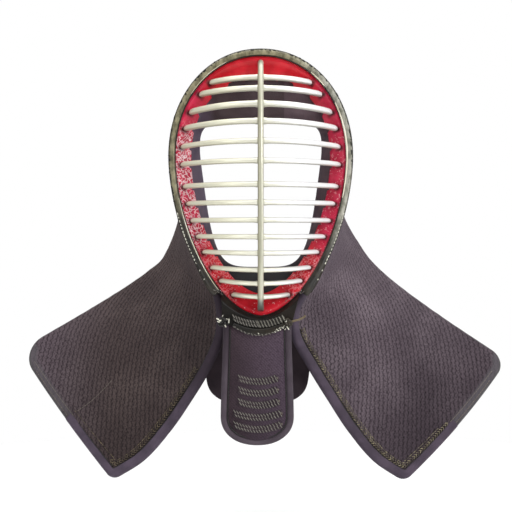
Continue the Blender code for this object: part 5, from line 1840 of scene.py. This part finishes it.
def soften(piece, width):
    """Rounds the sharp borders of a plate."""
    rounding = piece.modifiers.new("rounded_border", "BEVEL")
    rounding.width = width
    rounding.segments = 3
    rounding.limit_method = "ANGLE"
    rounding.angle_limit = math.radians(50)
    return piece


def chin_bottom(across):
    """Height of the chin piece's lower edge at a share of its half width."""
    return CHIN_Z - CHIN_CORNER_DROP - CHIN_SMILE * (1 - across**2)


def make_chin_guard():
    """The leather piece that closes the rim under the chin, rounded over at the rim's ends."""
    rows = []
    for share in np.linspace(0, 1, 25):
        row = []
        for turn in np.linspace(0, 1, 49):
            angle = mix(CHIN_START, 2 * math.pi - CHIN_START, turn)
            top = OPENING.point(angle) + out_of_opening(angle) * CLEARANCE
            across = 1 - 2 * turn
            x = mix(top.x, THROAT_SHIFT + CHIN_HALF_WIDTH * across, share)
            z = mix(top.z, chin_bottom(across), share)
            face = mix(top.y - RIM_DEPTH / 2, CHIN_FRONT_Y, smooth_step(min(share / CHIN_BULGE_SHARE, 1)))
            row.append(((x, face, z), (x, mix(top.y + RIM_DEPTH / 2, CHIN_BACK_Y, share), z)))
        rows.append(row)
    leather = make_piece("chin_leather", slab(rows), CHIN_LEATHER)
    settle(soften(leather, 0.0012), LEATHER, "chin_guard")


def smile_point(half_length, drop, smile, y, across):
    """A point of a curve that hangs lowest in its middle, a drop below the opening's lowest point."""
    return np.array([THROAT_SHIFT / 2 + half_length * across, y, CHIN_Z - drop + smile * across**2])


def flat_band(path, half_height, half_thickness):
    """A flat band along a path on a face that looks forwards."""
    path = np.asarray(path, float)
    run = unit(np.gradient(path, axis=0))
    behind = np.array(BACKWARDS)
    tall = np.cross(behind, run)
    height = np.broadcast_to(half_height, len(path))
    wide, deep = squircle(12, 2.6)
    rings = path[:, None] + tall[:, None] * wide[:, None] * height[:, None, None]
    return tube(rings + behind * deep[:, None] * half_thickness)


# The braid's strands: side, thread, first and last step from its middle
BRAID_SIDES = (("left", GREY_THREAD, -0.95, -0.06), ("right", BRAID_LEATHER, 0.0, 0.95))
BRAID_STAGGER = 0.028
BRAID_STRAND_HALF = np.array([0.0011, 0, -BRAID_HALF_HEIGHT * 0.48])
SEAM_LACE_DROP = 0.0178
SEAM_LACE_SMILE = 0.0086
SEAM_LOOP_HALF = np.array([0.0013, 0, -0.0005])


def make_chin_laces():
    """The braid across the chin piece and the looped lace along its lower seam."""
    steps = np.linspace(-1, 1, 41)

    def on_braid(step, y):
        return smile_point(BRAID_HALF_LENGTH, BRAID_DROP, BRAID_SMILE, y, step)

    y = CHIN_FRONT_Y - CLEARANCE - BRAID_HALF_THICKNESS * 0.7
    ends = BRAID_HALF_HEIGHT * np.sqrt(1 - np.abs(steps) ** 8 * 0.8)
    ground = flat_band([on_braid(step, y) for step in steps], ends * 0.92, BRAID_HALF_THICKNESS * 0.7)
    fit("braid_ground", ground, LACE_LEATHER, LEATHER, "chin_braid")
    for side, finish, first, last in BRAID_SIDES:
        strands = Places()
        for step in np.linspace(first, last, 9):
            for tier in (-1, 1):
                middle = on_braid(step - BRAID_STAGGER * tier, y - 0.0010)
                middle = middle + np.array([0, 0, BRAID_HALF_HEIGHT * 0.5]) * tier
                strands.lay_round(middle, BRAID_STRAND_HALF, FORWARDS, 0.0011)
        lay_threads(f"{side}_braid_strands", strands, finish, LEATHER, arch=0.25, sway=0.15)

    y = CHIN_FRONT_Y - CLEARANCE - 0.0014
    curve = (LACING_HALF_LENGTH, SEAM_LACE_DROP, SEAM_LACE_SMILE, y + 0.0004)
    lace = flat_band([smile_point(*curve, step) for step in steps], 0.0038 - 0.0016 * steps**2, 0.0010)
    fit("seam_lace", lace, LACE_LEATHER, LEATHER, "chin_lacing")
    # the lace's loops, grey as painted highlights on the black lace
    loops = Places()
    for step in np.linspace(-0.95, 0.95, 15):
        middle = smile_point(LACING_HALF_LENGTH, LACING_DROP, LACING_SMILE, y - 0.0006, step)
        loops.lay_round(middle, SEAM_LOOP_HALF, FORWARDS, 0.0010)
    lay_threads("seam_lace_loops", loops, GREY_THREAD, LEATHER, arch=0.35, sway=0.7)


# Painted highlights on the knots and laces, as pale threads: across and up from the chin in mm, run across
# and up in mm, girth in mm
LACE_GLINTS = (
    (-46.8, -3.2, 2.6, -2.0, 1.7),
    (-44.2, -4.9, 2.4, 1.2, 1.9),
    (-46.0, -6.2, 2.8, -1.0, 1.2),
    (-41.5, 0.2, 0.8, 1.8, 0.8),
    (-38.4, -10.8, 1.0, -2.6, 1.3),
    (-34.6, -5.0, 0.2, -4.6, 1.2),
    (-36.9, -3.0, 1.6, -1.0, 0.7),
    (29.6, -13.0, 2.2, -3.6, 1.2),
    (26.6, -14.2, 0.8, 1.8, 0.9),
    (23.8, -12.6, 1.9, -1.7, 0.8),
    (21.6, -14.6, 1.0, 1.8, 0.9),
    (18.9, -15.4, 1.7, -1.3, 0.9),
    (25.2, -11.2, 0.9, 2.0, 0.7),
    (15.8, -17.2, 1.5, -1.2, 0.8),
    (20.4, -12.9, 1.9, 1.1, 0.7),
    (17.2, -14.4, 1.3, 1.5, 0.7),
    (-2.4, -18.9, 1.2, -1.0, 0.9),
    (27.6, -5.6, 1.6, 1.8, 0.6),
)
# Laces crossed over the bead's two ends, grey as painted highlights on them; the last three are painted
# glints along the red band's lower right edge
CORNER_LACES = (
    (-51.0, 27.2, 3.0, -1.2, 0.9),
    (-46.8, 25.2, 2.2, -1.4, 0.9),
    (-43.0, 23.0, 2.8, -1.8, 0.8),
    (-49.4, 24.4, 1.4, 1.8, 0.6),
    (39.6, 24.6, 2.8, 1.4, 0.9),
    (43.6, 24.4, 2.6, -1.6, 0.9),
    (46.8, 25.2, 2.4, 1.8, 0.7),
    (31.5, 19.6, 1.6, 2.0, 0.8),
    (28.0, 15.6, 1.8, 2.0, 0.9),
    (35.2, 22.4, 1.2, 1.6, 0.9),
)


def make_lace_glints():
    """The painted highlights on the knots and laces, as pale threads, and the laces crossed over the bead's
    two ends.
    """
    for name, listing, y, finish in (
        ("painted_lace_glints", LACE_GLINTS, CHIN_FRONT_Y - 0.0052, PALE_THREAD),
        ("corner_laces", CORNER_LACES, OPENING_CHIN_Y + 0.0006, GREY_THREAD),
    ):
        places = Places()
        for across, up, run_across, run_up, girth in listing:
            middle = np.array([across * MM, y, CHIN_Z + up * MM])
            half = np.array([run_across * MM, 0, run_up * MM]) / 2
            places.lay_round(middle, half, FORWARDS, girth * MM)
        lay_threads(name, places, finish, LEATHER, arch=0.3, sway=0.1)


def knot_path(centre, wide, tall, turns=3):
    """A cord wound over itself into a flat oval knot."""
    path = []
    for t in np.linspace(0, 2 * math.pi, 120):
        spread = 0.62 + 0.38 * math.cos(turns * t)
        x = centre[0] + wide * spread * math.cos((turns - 1) * t)
        z = centre[2] + tall * spread * math.sin((turns - 1) * t)
        path.append((x, centre[1] - 0.0010 * math.sin(turns * t), z))
    return path


# The right lace's loose end, across, behind and up from its knot
LOOSE_END = (
    (0.001, 0.000, 0.0005),
    (0.006, 0.000, 0.0026),
    (0.011, 0.001, 0.0036),
    (0.016, 0.003, 0.0056),
    (0.019, 0.004, 0.0078),
)


def make_knots():
    """The lace's two knots at the chin piece's lower corners, the right one with its loose end."""
    y = CHIN_FRONT_Y - CLEARANCE - 0.0030
    left = (THROAT_SHIFT - CHIN_HALF_WIDTH * 0.97, y, CHIN_Z - CHIN_CORNER_DROP * 0.85)
    right = (THROAT_SHIFT + CHIN_HALF_WIDTH * 0.88, y, CHIN_Z - CHIN_CORNER_DROP * 1.05)
    knot = cord(knot_path(left, 0.0060, 0.0042), 0.0014, sides=10)
    fit("left_knot", knot, LACE_LEATHER, LEATHER, "left_chin_knot")
    knot = cord(knot_path(right, 0.0036, 0.0046), 0.0014, sides=10)
    fit("right_knot", knot, LACE_LEATHER, LEATHER, "right_chin_knot")
    bends = np.array(right) + np.array(LOOSE_END)
    order = np.linspace(0, len(bends) - 1, 25)
    lace = np.stack([np.interp(order, np.arange(len(bends)), bends[:, k]) for k in range(3)], -1)
    fit("loose_lace_end", cord(lace, 0.0012), WORN_LACE, LEATHER)


def throat_outline(inset, side_steps=24, turn_steps=28):
    """Half outline of the throat guard, from its top corner to its lowest point, drawn in by an inset."""
    top = CHIN_Z - CHIN_CORNER_DROP - THROAT_TOP_DROP
    bottom = top - THROAT_LENGTH + inset
    turn_z = bottom + THROAT_ROUNDING - inset
    outline = []
    for share in np.linspace(0, 1, side_steps + 1):
        wide = smooth_step(share * THROAT_WIDENING)
        half = mix(THROAT_TOP_HALF_WIDTH - inset, THROAT_LOW_HALF_WIDTH - inset, wide)
        outline.append((half, mix(top, turn_z, share)))
    widest = outline[-1][0]
    for turn in np.linspace(0, math.pi / 2, turn_steps + 1)[1:]:
        across = math.cos(turn) ** (2 / THROAT_TURN_POWER)
        down = math.sin(turn) ** (2 / THROAT_TURN_POWER)
        outline.append((widest * across, turn_z - (turn_z - bottom) * down))
    return outline


def throat_y(z, depth):
    """Depth of a point in the throat guard: it leans back towards its lower end."""
    return CHIN_FRONT_Y + depth + (CHIN_Z - z) * THROAT_LEAN


def throat_border(inset):
    """Places across and up along the throat guard's whole outline, drawn in by an inset."""
    half = throat_outline(inset)
    return np.array(half + [(-x, z) for x, z in reversed(half[:-1])])


PANEL_EDGE_FALL = 0.0016
PIPING_SIDES = 16
PIPING_SQUARENESS = 2.1


def make_throat_panel():
    """The quilted tongue below the chin piece, falling off towards its sides."""
    outline = throat_outline(PIPING_WIDTH * 0.8)
    rows = []
    for half, z in outline[:-1]:
        row = []
        for across in np.linspace(1, -1, 33):
            x = half * across
            low = chin_bottom(x / CHIN_HALF_WIDTH) - CLEARANCE
            height = low if z == outline[0][1] else min(z, low)
            fall = PANEL_EDGE_FALL * abs(across) ** 4
            front = (THROAT_SHIFT + x, throat_y(height, fall), height)
            row.append((front, (THROAT_SHIFT + x, throat_y(height, THROAT_THICKNESS - fall), height)))
        rows.append(row)
    points, faces = slab(rows)
    slanted = np.stack([points[:, 0] + points[:, 2], points[:, 0] - points[:, 2]], -1) * math.sqrt(0.5)
    marks = {"hem": np.zeros(len(points))}
    panel = make_piece("throat_panel", (points, faces), FINE_QUILTED, slanted, marks)
    settle(panel, "quilted_cotton", "throat_guard")


def make_throat_border():
    """The thick piping round the throat guard and the cord in the seam inside it."""
    path = throat_border(PIPING_WIDTH / 2)
    wide, deep = squircle(PIPING_SIDES, PIPING_SQUARENESS)
    rings = []
    for (x, z), (run_x, run_z) in zip(path, unit(np.gradient(path, axis=0))):
        ring = []
        for across, ahead in zip(wide, deep):
            ring_x = THROAT_SHIFT + x + run_z * across * PIPING_WIDTH / 2
            ring_z = z - run_x * across * PIPING_WIDTH / 2
            ring.append((ring_x, throat_y(ring_z, THROAT_THICKNESS / 2 * (1 - ahead)), ring_z))
        rings.append(ring)
    for ring in (rings[0], rings[-1]):
        for i, (x, y, z) in enumerate(ring):
            ring[i] = (x, y, chin_bottom((x - THROAT_SHIFT) / CHIN_HALF_WIDTH) - CLEARANCE * 2)
    piping = fit("throat_piping", tube(rings), PIPING, PIPING_COTTON, "throat_guard_piping")
    seam = throat_border(PIPING_WIDTH * 1.02)[1:-1]
    path = [(THROAT_SHIFT + x, throat_y(z, 0.0010), z) for x, z in seam]
    fit("throat_seam_cord", cord(path, 0.0007), DARK_THREAD, PIPING_COTTON)


@dataclass
class StitchBand:
    """A smile-shaped band of stitches on the throat guard: its middle, reach, drop and curve, in metres."""

    centre: float
    reach: float
    drop: float
    smile: float


THROAT_BANDS = (
    StitchBand(centre=-0.0030, reach=0.0212, drop=0.0722, smile=0.0040),
    StitchBand(centre=-0.0025, reach=0.0215, drop=0.0853, smile=0.0043),
    StitchBand(centre=-0.0022, reach=0.0222, drop=0.0984, smile=0.0046),
    StitchBand(centre=-0.0032, reach=0.0262, drop=0.1118, smile=0.0050),
    StitchBand(centre=-0.0032, reach=0.0262, drop=0.1250, smile=0.0060),
)
TIER_HEIGHT = 0.0040
STROKE_PITCH = 0.0032
STROKE_HALF = np.array([0.0012, 0, -0.0016])
END_LOOP_HALF = np.array([0.0010, 0, -0.0012])


def make_throat_stitching():
    """Five bands of two tiers of slanting stitches across the throat guard."""
    strokes = Places()
    ends = Places()
    grounds = []
    for band in THROAT_BANDS:

        def on_band(across, lift):
            z = CHIN_Z - band.drop + band.smile * across**2
            return np.array([band.centre + band.reach * across, throat_y(z, -lift), z])

        path = [on_band(step, 0.0001) for step in np.linspace(-1, 1, 31)]
        grounds.append(flat_band(path, TIER_HEIGHT * 1.02, 0.0006))
        count = int(round(band.reach * 2 / STROKE_PITCH))
        for tier in (-1, 1):
            for number in range(count):
                across = -1 + (2 * number + 1 - 0.5 * tier) / count
                middle = on_band(across, 0.0008) + np.array([0, 0, TIER_HEIGHT * 0.5 * tier])
                strokes.lay_round(middle, STROKE_HALF, FORWARDS, 0.0010)
        for turn in (-1, 1):
            ends.lay_round(on_band(1.0, 0.0008), END_LOOP_HALF * (turn, 1, 1), FORWARDS, 0.0008)
    lay_threads("throat_band_stitches", strokes, GREY_THREAD, PIPING_COTTON, arch=0.3, sway=0.06)
    fit("throat_band_grounds", joined(grounds), DARK_COTTON, PIPING_COTTON)
    lay_threads("throat_band_end_loops", ends, SEAM_THREAD, PIPING_COTTON, arch=0.3, sway=0.1)


@dataclass
class GuardRow:
    """Inner throat guard: shares of its length, of the way from neck to full width, of its set-back."""

    down: float
    width: float
    behind: float


INNER_GUARD_ROWS = (
    GuardRow(down=0.00, width=0.00, behind=0.00),
    GuardRow(down=0.12, width=0.03, behind=0.10),
    GuardRow(down=0.26, width=0.24, behind=0.48),
    GuardRow(down=0.40, width=0.70, behind=0.80),
    GuardRow(down=0.54, width=1.00, behind=0.96),
    GuardRow(down=0.76, width=0.96, behind=1.00),
    GuardRow(down=0.88, width=0.79, behind=1.00),
    GuardRow(down=0.96, width=0.46, behind=1.00),
    GuardRow(down=1.00, width=0.10, behind=1.00),
)


def make_inner_guard():
    """The plain second throat guard, bent back behind the first, with a hem round its edge."""
    widths = [(row.down, row.width) for row in INNER_GUARD_ROWS]
    setbacks = [(row.down, row.behind) for row in INNER_GUARD_ROWS]
    rows = []
    for down in np.concatenate([np.linspace(0, 0.84, 29), np.linspace(0.86, 1.0, 15)]):
        half = mix(INNER_GUARD_NECK_HALF_WIDTH, INNER_GUARD_HALF_WIDTH, smooth_curve(widths, down))
        z = CHIN_Z - INNER_GUARD_TOP_DROP - down * INNER_GUARD_LENGTH
        y = CHIN_BACK_Y + CLEARANCE + smooth_curve(setbacks, down) * INNER_GUARD_SETBACK
        xs = [THROAT_SHIFT + half * across for across in np.linspace(1, -1, 25)]
        rows.append([((x, y, z), (x, y + INNER_GUARD_THICKNESS, z)) for x in xs])
    guard = make_piece("inner_guard_cloth", slab(rows), DARK_COTTON)
    settle(soften(guard, 0.0014), "navy_cotton", "inner_throat_guard")


CAMERA_Y = -1.31
EYE_LEVEL = -0.197
FOCAL_PIXELS = 1116
FRAME_PIXELS = 512
AXIS_PIXEL = (260.7, 228.0)
FLOOR_SIDES = 96
FLOOR_RADIUS = 0.9
FLOOR_LEVEL = -0.60
ROOM_STRENGTH = 0.62
FACE_MIDDLE = (0, 0, -0.2)
WHITE = (1, 1, 1, 1)
LOW_GREY = (0.30, 0.30, 0.30, 1)


def make_camera():
    """The photograph's view: straight from the front, level with the face."""
    lens = bpy.data.cameras.new("camera")
    lens.sensor_width = 36
    lens.lens = FOCAL_PIXELS / FRAME_PIXELS * lens.sensor_width
    lens.shift_x = (FRAME_PIXELS / 2 - AXIS_PIXEL[0]) / FRAME_PIXELS
    lens.shift_y = (AXIS_PIXEL[1] - FRAME_PIXELS / 2) / FRAME_PIXELS
    camera = in_scene("camera", lens)
    camera.location = (0, CAMERA_Y, EYE_LEVEL)
    camera.rotation_euler = (math.pi / 2, 0, 0)
    bpy.context.scene.camera = camera


def soft_box(name, place, target, size, power, tall=None):
    """A soft rectangular lamp aimed at a point."""
    lamp = bpy.data.lights.new(name, "AREA")
    lamp.shape = "RECTANGLE"
    lamp.size = size
    lamp.size_y = tall or size
    lamp.energy = power
    holder = in_scene(name, lamp)
    holder.location = place
    holder.rotation_mode = "QUATERNION"
    holder.rotation_quaternion = (Vector(target) - Vector(place)).to_track_quat("-Z", "Y")


def make_floor():
    """The plain pale floor."""
    pale = Finish("pale_floor_look", roughness=0.9, specular=0.1)
    tone = pale.mottle(3, detail=3).above(-0.3, 0.3)
    pale.colour(pale.blend(tone, srgb(250, 250, 250), srgb(253, 253, 253)))
    turns = even_turns(FLOOR_SIDES)
    level = np.full(FLOOR_SIDES, FLOOR_LEVEL)
    edge = np.stack([FLOOR_RADIUS * np.cos(turns), FLOOR_RADIUS * np.sin(turns), level], -1)
    make_piece("pale_floor", (edge, [tuple(range(FLOOR_SIDES))]), pale)


def make_room():
    """A white backdrop, and a room that lights the guard more from above than from below."""
    world = bpy.data.worlds.new("studio")
    bpy.context.scene.world = world
    world.use_nodes = True
    tree = world.node_tree

    def add(kind, inputs=None):
        return add_node(tree, kind, inputs)

    height = add("ShaderNodeSeparateXYZ", {0: add("ShaderNodeTexCoord").outputs["Generated"]})
    shade = add("ShaderNodeValToRGB", {"Fac": height.outputs["Z"]})
    low, high = shade.color_ramp.elements
    low.position = 0.0
    low.color = LOW_GREY
    high.position = 0.9
    high.color = WHITE
    room = add("ShaderNodeBackground", {"Strength": ROOM_STRENGTH, "Color": shade.outputs["Color"]})
    backdrop = tree.nodes["Background"]
    feed(tree, backdrop.inputs["Strength"], 1.0)
    feed(tree, backdrop.inputs["Color"], WHITE)
    seen = add("ShaderNodeLightPath").outputs["Is Camera Ray"]
    choice = add("ShaderNodeMixShader", {"Fac": seen, 1: room.outputs[0], 2: backdrop.outputs[0]})
    feed(tree, tree.nodes["World Output"].inputs["Surface"], choice.outputs[0])


def make_studio():
    """Soft light from above and the front right, with a fill on the left and an edge light on the right."""
    make_floor()
    make_room()
    soft_box("ceiling", (0.0, -0.1, 1.5), (0, -0.1, -0.6), 2.6, 42)
    soft_box("key", (0.9, -1.4, 0.5), FACE_MIDDLE, 0.7, 12)
    soft_box("side_strip", (1.3, -0.62, -0.1), (-0.08, -0.04, -0.12), 0.25, 7, tall=0.9)
    soft_box("fill", (-1.3, -1.2, 0.0), FACE_MIDDLE, 1.0, 7)
    bpy.context.scene.view_settings.view_transform = "Standard"


make_camera()
make_quilted_cloth()
make_bindings()
make_flap_stitching()
make_rim()
make_rim_lacing()
make_band()
make_grille()
make_face_pad()
make_chin_guard()
make_chin_laces()
make_knots()
make_lace_glints()
make_throat_panel()
make_throat_border()
make_throat_stitching()
make_inner_guard()
make_studio()
